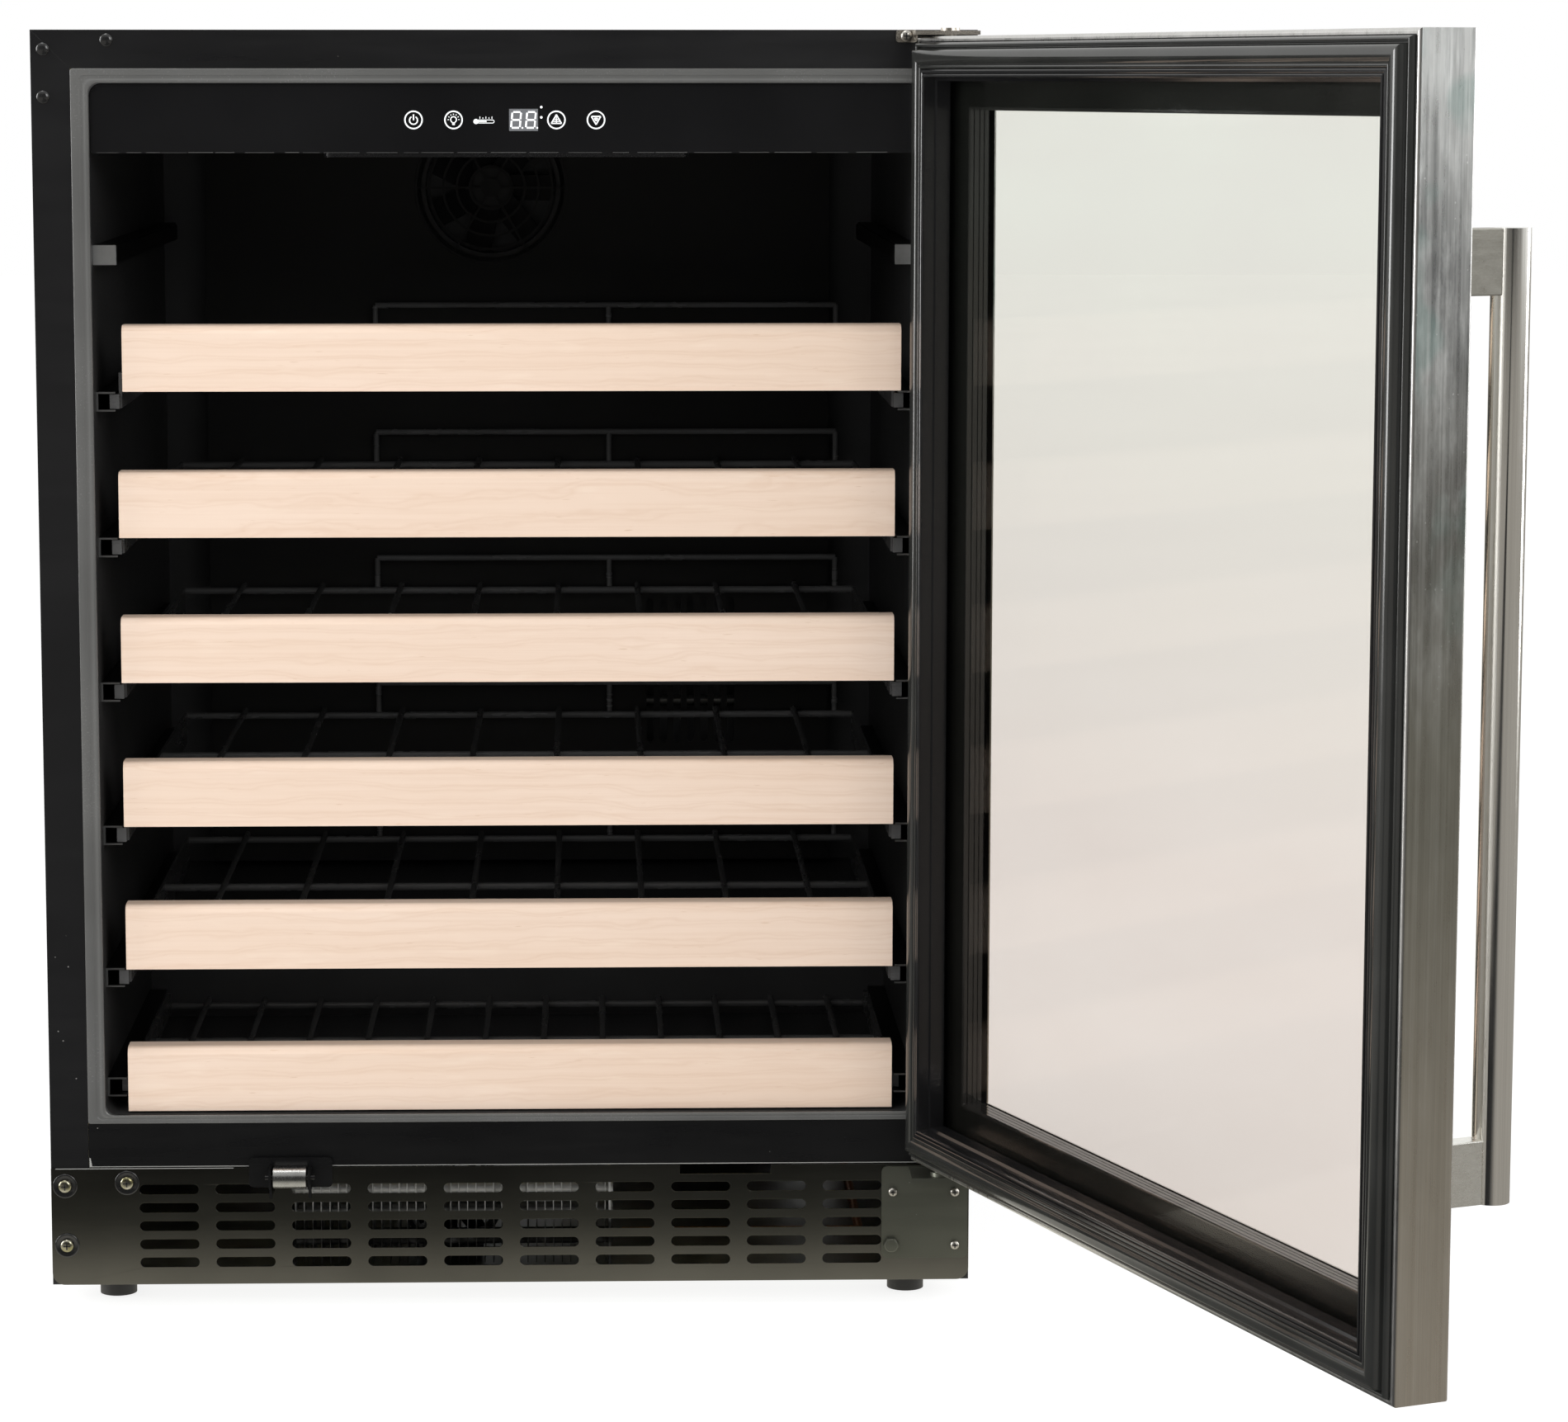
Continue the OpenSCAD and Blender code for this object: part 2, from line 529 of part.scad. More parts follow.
module handle_screws() color([0.5, 0.5, 0.5]) swing() for (z = post_z()) {
  ycyl(bar_x(), z, door_out - bar_off + 0.5, door_out + 3, 2.2);
  ycyl(bar_x(), z, door_out + 1.1, door_out + 4, 4);
}
module door_bushings() color([0.85, 0.85, 0.83]) swing()
  for (z = [[door_lo + 0.3, door_lo + 12], [door_hi - 12, door_hi - 0.3]]) difference() {
    pin_hole(7, z[0], z[1]);
    pin_hole(4.06, z[0] - 1, z[1] + 1);
  }

outer_shell();
cross_rail();
inner_liner();
foam_insulation();
rear_panel();
machine_cover();
base_pan();
kick_grille();
cover_screws();
front_plugs();
control_housing();
display_window();
control_board();
interior_light();
duct_cover();
fan_guard();
evaporator();
evap_fan_frame();
evap_fan();
top_hinge();
bottom_hinge();
hinge_screws();
roller_bracket();
support_roller();
compressor();
compressor_mounts();
condenser();
condenser_fan_frame();
condenser_fan();
pipework();
cord_gland();
fixed_rails();
levelling_feet();
door_frame();
door_core();
door_liner();
door_gasket();
glass_outer();
glass_spacer();
glass_inner();
handle_bar();
handle_posts();
handle_screws();
door_bushings();
shelf_front_1();
shelf_rack_1();
shelf_front_2();
shelf_rack_2();
shelf_front_3();
shelf_rack_3();
shelf_front_4();
shelf_rack_4();
shelf_front_5();
shelf_rack_5();
shelf_front_6();
shelf_rack_6();
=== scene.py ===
import json
import math
import random

import bpy
from mathutils import Matrix, Vector


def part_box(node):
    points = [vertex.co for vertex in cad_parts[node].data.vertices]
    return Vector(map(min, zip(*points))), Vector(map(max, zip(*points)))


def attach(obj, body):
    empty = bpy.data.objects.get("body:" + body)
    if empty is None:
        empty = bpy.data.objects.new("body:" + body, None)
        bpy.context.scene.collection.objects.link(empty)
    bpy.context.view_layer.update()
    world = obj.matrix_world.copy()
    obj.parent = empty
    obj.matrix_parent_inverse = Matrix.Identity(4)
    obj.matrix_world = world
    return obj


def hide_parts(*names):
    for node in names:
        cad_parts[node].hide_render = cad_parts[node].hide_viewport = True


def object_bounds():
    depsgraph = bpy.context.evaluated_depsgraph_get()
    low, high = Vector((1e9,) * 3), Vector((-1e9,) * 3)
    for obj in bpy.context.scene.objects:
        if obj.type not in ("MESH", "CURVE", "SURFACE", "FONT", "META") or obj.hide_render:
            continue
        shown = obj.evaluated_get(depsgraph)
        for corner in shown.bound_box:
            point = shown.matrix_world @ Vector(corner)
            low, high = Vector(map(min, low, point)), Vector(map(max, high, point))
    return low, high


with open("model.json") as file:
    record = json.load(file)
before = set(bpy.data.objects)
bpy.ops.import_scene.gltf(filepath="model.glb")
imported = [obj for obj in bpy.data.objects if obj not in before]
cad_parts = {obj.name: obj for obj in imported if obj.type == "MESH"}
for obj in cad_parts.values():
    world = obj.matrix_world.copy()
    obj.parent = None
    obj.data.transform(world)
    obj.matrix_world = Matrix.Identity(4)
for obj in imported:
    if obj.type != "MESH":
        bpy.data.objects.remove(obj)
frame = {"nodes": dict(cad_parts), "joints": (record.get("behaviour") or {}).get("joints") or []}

CAD_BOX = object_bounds()
NODES = frame["nodes"]
MM = 0.001
RACKS = range(1, 7)
rng = random.Random(7)


# ---------------------------------------------------------------- node helpers
class Mat:
    """A small wrapper that builds one node material."""

    def __init__(self, name):
        self.m = bpy.data.materials.new(name)
        self.m.use_nodes = True
        self.t = self.m.node_tree
        self.t.nodes.clear()
        self.out = self.t.nodes.new("ShaderNodeOutputMaterial")
        self.b = self.t.nodes.new("ShaderNodeBsdfPrincipled")
        self.t.links.new(self.b.outputs[0], self.out.inputs[0])
        self.tc = self.t.nodes.new("ShaderNodeTexCoord")

    def link(self, a, b):
        self.t.links.new(a, b)

    def put(self, sock, v):
        if isinstance(v, (int, float)):
            sock.default_value = v
        elif isinstance(v, (tuple, list)):
            sock.default_value = tuple(v) + (1.0,) * (len(sock.default_value) - len(v))
        else:
            self.link(v, sock)

    def co(self, scale=(1, 1, 1), loc=(0, 0, 0), rot=(0, 0, 0)):
        n = self.t.nodes.new("ShaderNodeMapping")
        n.inputs["Scale"].default_value = scale
        n.inputs["Location"].default_value = loc
        n.inputs["Rotation"].default_value = rot
        self.link(self.tc.outputs["Object"], n.inputs["Vector"])
        return n.outputs[0]

    def noise(self, vec, scale=1.0, detail=3.0, rough=0.5, dist=0.0):
        n = self.t.nodes.new("ShaderNodeTexNoise")
        n.inputs["Scale"].default_value = scale
        n.inputs["Detail"].default_value = detail
        n.inputs["Roughness"].default_value = rough
        n.inputs["Distortion"].default_value = dist
        self.link(vec, n.inputs["Vector"])
        return n.outputs["Fac"]

    def voronoi(self, vec, scale=1.0, feature="F1"):
        n = self.t.nodes.new("ShaderNodeTexVoronoi")
        n.feature = feature
        n.inputs["Scale"].default_value = scale
        self.link(vec, n.inputs["Vector"])
        return n.outputs["Distance"]

    def wave(self, vec, scale, distortion, detail, dscale, kind="RINGS", axis="X"):
        n = self.t.nodes.new("ShaderNodeTexWave")
        n.wave_type = kind
        if kind == "RINGS":
            n.rings_direction = axis
        else:
            n.bands_direction = axis
        n.inputs["Scale"].default_value = scale
        n.inputs["Distortion"].default_value = distortion
        n.inputs["Detail"].default_value = detail
        n.inputs["Detail Scale"].default_value = dscale
        self.link(vec, n.inputs["Vector"])
        return n.outputs["Fac"]

    def ramp(self, fac, stops, interp="LINEAR"):
        n = self.t.nodes.new("ShaderNodeValToRGB")
        n.color_ramp.interpolation = interp
        e = n.color_ramp.elements
        while len(e) < len(stops):
            e.new(0.5)
        for i, (p, c) in enumerate(stops):
            e[i].position = p
            c = (c, c, c) if isinstance(c, (int, float)) else c
            e[i].color = tuple(c) + (1.0,)
        self.link(fac, n.inputs[0])
        return n.outputs[0]

    def map(self, fac, a, b, lo, hi):
        n = self.t.nodes.new("ShaderNodeMapRange")
        n.inputs["From Min"].default_value = a
        n.inputs["From Max"].default_value = b
        n.inputs["To Min"].default_value = lo
        n.inputs["To Max"].default_value = hi
        self.link(fac, n.inputs["Value"])
        return n.outputs[0]

    def mix(self, fac, a, b, mode="MIX"):
        n = self.t.nodes.new("ShaderNodeMix")
        n.data_type = "RGBA"
        n.blend_type = mode
        self.put(n.inputs[0], fac)
        self.put(n.inputs[6], a)
        self.put(n.inputs[7], b)
        return n.outputs[2]

    def math(self, op, a, b=0.0, clamp=False):
        n = self.t.nodes.new("ShaderNodeMath")
        n.operation = op
        n.use_clamp = clamp
        self.put(n.inputs[0], a)
        self.put(n.inputs[1], b)
        return n.outputs[0]

    def axis(self, letter, scale=(1, 1, 1), loc=(0, 0, 0)):
        n = self.t.nodes.new("ShaderNodeSeparateXYZ")
        self.link(self.co(scale, loc), n.inputs[0])
        return n.outputs["XYZ".index(letter)]

    def bump(self, height, strength=0.3, dist=0.0005, normal=None):
        n = self.t.nodes.new("ShaderNodeBump")
        n.inputs["Strength"].default_value = strength
        n.inputs["Distance"].default_value = dist
        self.link(height, n.inputs["Height"])
        if normal is not None:
            self.link(normal, n.inputs["Normal"])
        return n.outputs[0]

    def done(self, color, rough, metallic=0.0, normal=None, spec=0.5, coat=0.0, coat_rough=0.1):
        self.put(self.b.inputs["Base Color"], color)
        self.put(self.b.inputs["Roughness"], rough)
        self.b.inputs["Metallic"].default_value = metallic
        self.b.inputs["Specular IOR Level"].default_value = spec
        self.b.inputs["Coat Weight"].default_value = coat
        self.b.inputs["Coat Roughness"].default_value = coat_rough
        if normal is not None:
            self.link(normal, self.b.inputs["Normal"])
        return self.m


def shade(c, k):
    return tuple(min(1.0, v * k) for v in c)


def enamel(name, base, rough, spec=0.5, specks=0.5, peel=0.12, metallic=0.0):
    """Sprayed enamel on sheet steel: orange peel, soft wipe marks and a few dust specks."""
    m = Mat(name)
    cloud = m.noise(m.co(), 5.0, 4.0, 0.6)
    fine = m.noise(m.co(), 420.0, 2.0, 0.5)
    wipe = m.noise(m.co((3, 3, 26), rot=(0.3, 0.2, 0.5)), 3.0, 4.0, 0.65)
    col = m.mix(m.map(cloud, 0.3, 0.7, 0, 1), shade(base, 0.8), shade(base, 1.25))
    dots = m.math("LESS_THAN", m.voronoi(m.co(), 95.0), 0.045)
    some = m.math("GREATER_THAN", m.noise(m.co(), 17.0, 1.0), 0.58)
    col = m.mix(m.math("MULTIPLY", m.math("MULTIPLY", dots, some), specks), col, (0.30, 0.29, 0.27))
    ro = m.math("ADD", m.map(wipe, 0.35, 0.7, rough * 0.82, rough * 1.2),
                m.map(cloud, 0.3, 0.7, -0.02, 0.03))
    nrm = m.bump(fine, peel, 0.0002)
    return m.done(col, ro, metallic, nrm, spec)


def plastic(name, base, rough, grain=700.0, depth=0.25, spec=0.5, coat=0.0):
    """Moulded plastic with a fine spark-eroded grain."""
    m = Mat(name)
    cloud = m.noise(m.co(), 9.0, 3.0, 0.55)
    g = m.noise(m.co(), grain, 2.0, 0.6)
    col = m.mix(m.map(cloud, 0.3, 0.7, 0, 1), shade(base, 0.85), shade(base, 1.18))
    ro = m.math("ADD", m.map(g, 0.3, 0.7, rough - 0.03, rough + 0.05), m.map(cloud, 0.3, 0.7, -0.02, 0.03))
    return m.done(col, ro, 0.0, m.bump(g, depth, 0.0002), spec, coat)


def brushed(name, low, high, rough=0.3, along="Z", smear=0.6, zr=(0.1, 0.8), spec=0.5, grit=1.0):
    """Brushed stainless steel: long streaks along one axis, painted cloudy reflections, and a colour
    drifting upwards from low to high that paints the change in reflection up the part.
    """
    m = Mat(name)
    s = {"X": (1.2, 260, 260), "Y": (260, 1.2, 260), "Z": (260, 260, 1.2)}[along]
    s2 = {"X": (5, 1500, 1500), "Y": (1500, 5, 1500), "Z": (1500, 1500, 5)}[along]
    streak = m.noise(m.co(s), 1.0, 4.0, 0.7)
    hair = m.noise(m.co(s2), 1.0, 2.0, 0.6)
    cloud = m.noise(m.co(), 7.0, 5.0, 0.62, 0.4)
    # Painted reflection: the colour changes with height, broken up by clouds.
    z = m.map(m.axis("Z"), zr[0], zr[1], 0.0, 1.0)
    zz = m.math("ADD", z, m.map(cloud, 0.3, 0.7, -0.22, 0.22), True)
    col = m.mix(zz, low, high)
    col = m.mix(m.map(streak, 0.3, 0.7, 0.0, 0.32 * smear), col, shade(high, 1.3))
    col = m.mix(m.map(hair, 0.35, 0.65, 0.0, 0.22), col, shade(low, 0.55))
    ro = m.math("ADD", m.map(streak, 0.3, 0.7, rough - 0.07, rough + 0.09),
                m.map(cloud, 0.3, 0.7, -0.05, 0.07))
    n1 = m.bump(streak, 0.10 * grit, 0.0003)
    n2 = m.bump(hair, 0.22 * grit, 0.00012, n1)
    return m.done(col, ro, 1.0, n2, spec)


def door_steel_painted_reflections(name):
    """Door wrap: fine vertical brushing. Its free edge carries painted reflections: warm low down, mottled
    and cooler high up with light, dark and teal patches, glints and stronger streaks, and a pale painted
    highlight near the top.
    """
    m = Mat(name)
    hinge = next(j for j in frame["joints"] if j["name"] == "door_hinge")
    turned = -math.radians(hinge["range_deg"][0])
    dot = m.t.nodes.new("ShaderNodeVectorMath")
    dot.operation = "DOT_PRODUCT"
    m.link(m.tc.outputs["Normal"], dot.inputs[0])
    dot.inputs[1].default_value = (-math.cos(turned), -math.sin(turned), 0.0)
    side = m.map(dot.outputs["Value"], 0.80, 0.95, 0.0, 1.0)
    streak = m.noise(m.co((240, 240, 1.6)), 1.0, 4.0, 0.7)
    hair = m.noise(m.co((1500, 1500, 7)), 1.0, 2.0, 0.6)
    blot = m.noise(m.co((95, 95, 30)), 1.0, 5.0, 0.62)
    drag = m.noise(m.co((170, 170, 11), (0.3, 0.2, 0.1)), 1.0, 4.0, 0.6)
    broad = m.noise(m.co((13, 13, 6.5), (2.0, 1.0, 0.35)), 1.0, 2.0, 0.5)
    tint = m.noise(m.co((30, 30, 22), (5.0, 1.0, 2.0)), 1.0, 2.0, 0.5)
    spot = m.voronoi(m.co((1, 1, 0.7)), 320.0)
    # Painted reflections on the free edge only: a warm tone low down, grey tones high up.
    z = m.axis("Z")
    upper_edge_reflections = m.map(z, 0.44, 0.66, 0.0, 1.0)
    top = m.map(z, 0.70, 0.79, 0.0, 1.0)
    low = m.map(z, 0.05, 0.40, 1.0, 0.0)
    col = m.mix(low, (0.30, 0.292, 0.250), (0.74, 0.672, 0.575))
    tone = m.mix(m.map(broad, 0.36, 0.64, 0.0, 1.0), (0.15, 0.155, 0.16), (0.56, 0.57, 0.565))
    col = m.mix(upper_edge_reflections, col, tone)
    # Painted highlight near the top, then painted light, dark and teal reflection patches and glints high
    # up.
    col = m.mix(m.math("MULTIPLY", top, m.map(broad, 0.3, 0.6, 0.35, 0.85), True), col, (0.84, 0.86, 0.85))
    light = m.math("MULTIPLY", upper_edge_reflections, m.map(blot, 0.46, 0.66, 0.0, 0.50), True)
    col = m.mix(light, col, (0.86, 0.88, 0.87))
    dark = m.math("MULTIPLY", upper_edge_reflections, m.map(drag, 0.50, 0.34, 0.0, 0.45), True)
    col = m.mix(dark, col, (0.10, 0.105, 0.105))
    painted_teal_reflection = m.math("MULTIPLY", upper_edge_reflections, m.map(tint, 0.56, 0.68, 0.0, 0.42), True)
    col = m.mix(painted_teal_reflection, col, (0.24, 0.40, 0.37))
    painted_glint = m.math("MULTIPLY", upper_edge_reflections, m.math("LESS_THAN", spot, 0.14))
    some = m.math("GREATER_THAN", m.noise(m.co(), 60.0, 2.0), 0.58)
    col = m.mix(m.math("MULTIPLY", m.math("MULTIPLY", painted_glint, some), 0.6), col, (0.9, 0.92, 0.91))
    plain = m.mix(m.map(broad, 0.3, 0.7, 0.0, 1.0), (0.60, 0.592, 0.572), (0.68, 0.672, 0.655))
    col = m.mix(side, plain, col)
    amount = m.math("ADD", m.math("MULTIPLY", m.math("MULTIPLY", upper_edge_reflections, side), 0.30), 0.08)
    col = m.mix(m.math("MULTIPLY", m.map(streak, 0.45, 0.75, 0.0, 1.0), amount), col, (0.9, 0.9, 0.88))
    col = m.mix(m.map(hair, 0.35, 0.65, 0.0, 0.12), col, (0.10, 0.10, 0.095))
    ro = m.math("ADD", m.map(streak, 0.3, 0.7, 0.25, 0.36), m.map(blot, 0.3, 0.7, -0.04, 0.05))
    n1 = m.bump(streak, 0.08, 0.0003)
    return m.done(col, ro, 1.0, m.bump(hair, 0.12, 0.00012, n1), 0.5)


def metal(name, base, rough, scale=60.0, depth=0.1, metallic=1.0):
    """Plated or drawn metal with soft clouding and a fine grain."""
    m = Mat(name)
    cloud = m.noise(m.co(), scale, 4.0, 0.6)
    fine = m.noise(m.co(), scale * 22, 2.0, 0.6)
    col = m.mix(m.map(cloud, 0.3, 0.7, 0, 1), shade(base, 0.8), shade(base, 1.15))
    ro = m.map(fine, 0.3, 0.7, rough - 0.06, rough + 0.08)
    return m.done(col, ro, metallic, m.bump(fine, depth, 0.0002))


def slide_zinc_painted_shade(name):
    """Slide channels: bright zinc at the front tips of the spare pair, painted near-black shade further in.
    """
    m = Mat(name)
    cloud = m.noise(m.co(), 70.0, 4.0, 0.6)
    fine = m.noise(m.co(), 1500.0, 2.0, 0.6)
    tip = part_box("fixed_rails")[0].y + 4.0 * MM      # only the spare pair reaches further forward
    front = m.map(m.axis("Y"), tip - 0.5 * MM, tip + 0.5 * MM, 0.0, 1.0)
    col = m.mix(m.map(cloud, 0.3, 0.7, 0, 1), (0.62, 0.63, 0.63), (0.78, 0.79, 0.79))
    # Painted shade: near-black beyond the front tips.
    col = m.mix(front, col, (0.022, 0.022, 0.022))
    return m.done(col, m.map(fine, 0.3, 0.7, 0.3, 0.44), 1.0, m.bump(fine, 0.1, 0.0002))


def fins_dark_below(name):
    """Aluminium fins, bright near the top and near-black below."""
    m = Mat(name)
    cloud = m.noise(m.co(), 60.0, 4.0, 0.6)
    z = m.math("ADD", m.map(m.axis("Z"), 0.050, 0.068, 0.0, 1.0), m.map(cloud, 0.3, 0.7, -0.15, 0.15), True)
    col = m.mix(z, (0.012, 0.012, 0.011), (0.80, 0.80, 0.78))
    return m.done(col, 0.42, 0.6, m.bump(cloud, 0.1, 0.0005))


def brassy(name):
    """Yellow-passivated zinc: greenish gold and cleaner zinc in cloudy patches."""
    m = Mat(name)
    cloud = m.noise(m.co(), 160.0, 4.0, 0.6)
    fine = m.noise(m.co(), 2400.0, 2.0, 0.6)
    col = m.mix(m.map(cloud, 0.35, 0.65, 0, 1), (0.30, 0.28, 0.15), (0.52, 0.50, 0.42))
    return m.done(col, m.map(fine, 0.3, 0.7, 0.18, 0.3), 1.0, m.bump(fine, 0.08, 0.0001))


def galvanised(name):
    """Hot-dipped sheet with its spangle."""
    m = Mat(name)
    cell = m.voronoi(m.co(), 55.0)
    cloud = m.noise(m.co(), 8.0, 4.0, 0.6)
    col = m.mix(m.map(cell, 0.0, 0.8, 0, 1), (0.44, 0.46, 0.47), (0.58, 0.60, 0.61))
    col = m.mix(m.map(cloud, 0.35, 0.7, 0, 0.3), col, (0.36, 0.36, 0.35))
    return m.done(col, m.map(cell, 0, 0.8, 0.3, 0.46), 1.0, m.bump(cloud, 0.08, 0.001))


def rubber(name, base, rough=0.6):
    """Matt rubber with a fine tooth."""
    m = Mat(name)
    f = m.noise(m.co(), 520.0, 3.0, 0.6)
    cloud = m.noise(m.co(), 22.0, 3.0, 0.6)
    col = m.mix(m.map(cloud, 0.35, 0.65, 0, 1), shade(base, 0.8), shade(base, 1.3))
    return m.done(col, m.map(f, 0.3, 0.7, rough - 0.06, rough + 0.06), 0.0, m.bump(f, 0.18, 0.0002), 0.4)


def vinyl(name, base, rough):
    """Soft glossy vinyl: almost smooth, with slow waviness and a little bloom."""
    m = Mat(name)
    cloud = m.noise(m.co(), 16.0, 3.0, 0.5)
    slow = m.noise(m.co((60, 60, 9)), 1.0, 2.0, 0.5)
    col = m.mix(m.map(cloud, 0.3, 0.7, 0, 1), shade(base, 0.85), shade(base, 1.25))
    ro = m.map(cloud, 0.3, 0.7, rough - 0.03, rough + 0.05)
    return m.done(col, ro, 0.0, m.bump(slow, 0.12, 0.0008), 0.75)


def wood(name, k):
    """Pale lacquered hardwood, grain along X, cut differently for each board."""
    r = random.Random(100 + k)
    m = Mat(name)
    off = (r.uniform(-3, 3), r.uniform(0.02, 0.09), r.uniform(-0.6, 0.6))
    tilt = (0.0, r.uniform(-0.05, 0.05), r.uniform(0.02, 0.1) * r.choice((-1, 1)))
    base = m.co((0.32, 1.0, 1.0), off, tilt)
    ring = m.wave(base, 34.0, 5.5, 3.0, 1.4)
    ringline = m.ramp(ring, [(0.0, 0.0), (0.62, 0.12), (0.9, 0.75), (1.0, 0.2)])
    fibre = m.noise(m.co((7, 420, 420), off), 1.0, 5.0, 0.65, 0.1)
    broad = m.noise(m.co((2.2, 16, 16), off), 1.0, 3.0, 0.55, 0.3)
    fleck = m.noise(m.co((75, 900, 900), off), 1.0, 1.0, 0.5)
    ray = m.noise(m.co((26, 160, 160), off, (0, 0.5, 0)), 1.0, 2.0, 0.5)
    light, mid, deep = (0.765, 0.612, 0.505), (0.722, 0.558, 0.440), (0.60, 0.412, 0.292)
    col = m.mix(m.map(broad, 0.3, 0.7, 0.0, 0.85), light, mid)
    col = m.mix(m.math("MULTIPLY", ringline, 0.34), col, deep)
    col = m.mix(m.map(fibre, 0.45, 0.75, 0.0, 0.30), col, deep)
    col = m.mix(m.map(ray, 0.62, 0.75, 0.0, 0.22), col, (0.83, 0.70, 0.58))
    col = m.mix(m.map(fleck, 0.72, 0.8, 0.0, 0.5), col, (0.50, 0.31, 0.18))
    h = m.math("ADD", m.math("MULTIPLY", fibre, 0.7), m.math("MULTIPLY", fleck, -0.3))
    return m.done(col, m.map(fibre, 0.3, 0.7, 0.40, 0.52), 0.0, m.bump(h, 0.12, 0.0003), 0.45)


def pane(name):
    """Clear float glass: a faint green-grey film that passes straight light, darker and warmer low down as
    painted shade, with a mirror film on top.
    """
    m = Mat(name)
    t = m.t
    smear = m.noise(m.co((2, 2, 5)), 2.0, 4.0, 0.6, 0.5)
    # Painted shade: a darker, warmer tint low on the pane, clearer high up.
    high = m.map(m.axis("Z"), 0.34, 0.72, 0.0, 1.0)
    clear = t.nodes.new("ShaderNodeBsdfTransparent")
    tint = m.mix(high, (0.911, 0.889, 0.873), (0.951, 0.955, 0.934))
    m.put(clear.inputs[0], m.mix(m.map(smear, 0.3, 0.7, 0, 0.35), tint, (0.930, 0.918, 0.906)))
    gloss = t.nodes.new("ShaderNodeBsdfGlossy")
    gloss.inputs["Color"].default_value = (0.9, 0.93, 0.93, 1)
    m.put(gloss.inputs["Roughness"], m.map(smear, 0.3, 0.7, 0.015, 0.05))
    facing = t.nodes.new("ShaderNodeLayerWeight")
    facing.inputs["Blend"].default_value = 0.5
    rise = m.math("POWER", facing.outputs["Facing"], 5.0)
    mx = t.nodes.new("ShaderNodeMixShader")
    m.link(m.map(rise, 0.0, 1.0, 0.002, 0.22), mx.inputs[0])
    m.link(clear.outputs[0], mx.inputs[1])
    m.link(gloss.outputs[0], mx.inputs[2])
    m.link(mx.outputs[0], m.out.inputs[0])
    t.nodes.remove(m.b)
    return m.m


def foam_mat(name):
    """Yellow cellular foam."""
    m = Mat(name)
    c = m.voronoi(m.co(), 330.0)
    n = m.noise(m.co(), 14.0, 3.0)
    col = m.mix(m.map(n, 0.3, 0.7, 0, 1), (0.78, 0.66, 0.36), (0.86, 0.77, 0.50))
    return m.done(col, 0.85, 0.0, m.bump(c, 0.4, 0.0006), 0.2)


def board_mat(name):
    """Green circuit board with pale tracks."""
    m = Mat(name)
    tr = m.wave(m.co(rot=(0, 0.7, 0)), 260.0, 6.0, 2.0, 2.0, "BANDS", "X")
    col = m.mix(m.ramp(tr, [(0.0, 0.0), (0.6, 0.0), (0.7, 1.0)]), (0.012, 0.10, 0.03), (0.03, 0.20, 0.07))
    return m.done(col, 0.35, 0.0, m.bump(tr, 0.2, 0.0001))


def glow(name, color, strength):
    """White mark that shows against gloss black, with an emission: lit display segments, and a painted glow
    on the printed icons.
    """
    m = Mat(name)
    n = m.noise(m.co(), 300.0, 2.0)
    m.done(m.mix(m.map(n, 0.3, 0.7, 0, 0.15), color, shade(color, 0.7)), 0.4)
    m.b.inputs["Emission Color"].default_value = tuple(color) + (1,)
    m.b.inputs["Emission Strength"].default_value = strength
    return m.m


# ---------------------------------------------------------------- materials
SHELL = enamel("shell_enamel", (0.0065, 0.0065, 0.0070), 0.33, 0.45)
RAIL_BLACK = enamel("crossrail_enamel", (0.0042, 0.0042, 0.0045), 0.30, 0.4)
LINER = plastic("liner_moulding", (0.031, 0.031, 0.0315), 0.42, 520, 0.3, 0.4)
LIP = plastic("liner_lip_satin", (0.094, 0.094, 0.091), 0.22, 900, 0.03, 0.8)
GRILLE = enamel("grille_enamel", (0.125, 0.122, 0.108), 0.17, 0.5, 0.25, 0.05, 1.0)
HINGE_PLATE = enamel("hinge_enamel", (0.105, 0.108, 0.088), 0.36, 0.5, 0.8, 0.25, 0.8)
REAR = enamel("rear_enamel", (0.055, 0.056, 0.06), 0.5, 0.4, 0.5, 0.25)
FASCIA = plastic("fascia_gloss", (0.0055, 0.0055, 0.006), 0.16, 1200, 0.03, 0.5)
DUCT = plastic("duct_moulding", (0.006, 0.006, 0.006), 0.40, 640, 0.3, 0.4)
BLACK_GLOSS = plastic("door_extrusion", (0.0075, 0.0075, 0.008), 0.14, 800, 0.02, 0.7)
PLUG = plastic("plug_moulding", (0.010, 0.010, 0.010), 0.12, 900, 0.03, 0.8)
# Pale grey: painted edge highlights, and paint worn pale at one corner.
WORN_AND_HIGHLIGHT = plastic("worn_edge_and_highlight", (0.30, 0.30, 0.285), 0.35, 200, 0.1)
DUST = plastic("grey_dust", (0.055, 0.055, 0.053), 0.6, 300, 0.3)
GASKET = vinyl("gasket_vinyl", (0.017, 0.0175, 0.0165), 0.13)
RUBBER = rubber("black_rubber", (0.012, 0.012, 0.012))
FOOT = plastic("foot_moulding", (0.008, 0.008, 0.008), 0.55, 500, 0.3)
WIRE = enamel("rack_dip_coat", (0.066, 0.066, 0.066), 0.26, 0.6, 0.0, 0.3)
DOOR_STEEL_PAINTED_REFLECTIONS = door_steel_painted_reflections("door_stainless_painted_reflections")
HANDLE = brushed("handle_stainless", (0.97, 0.95, 0.90), (0.97, 0.96, 0.92), 0.09, grit=0.1, smear=0.15)
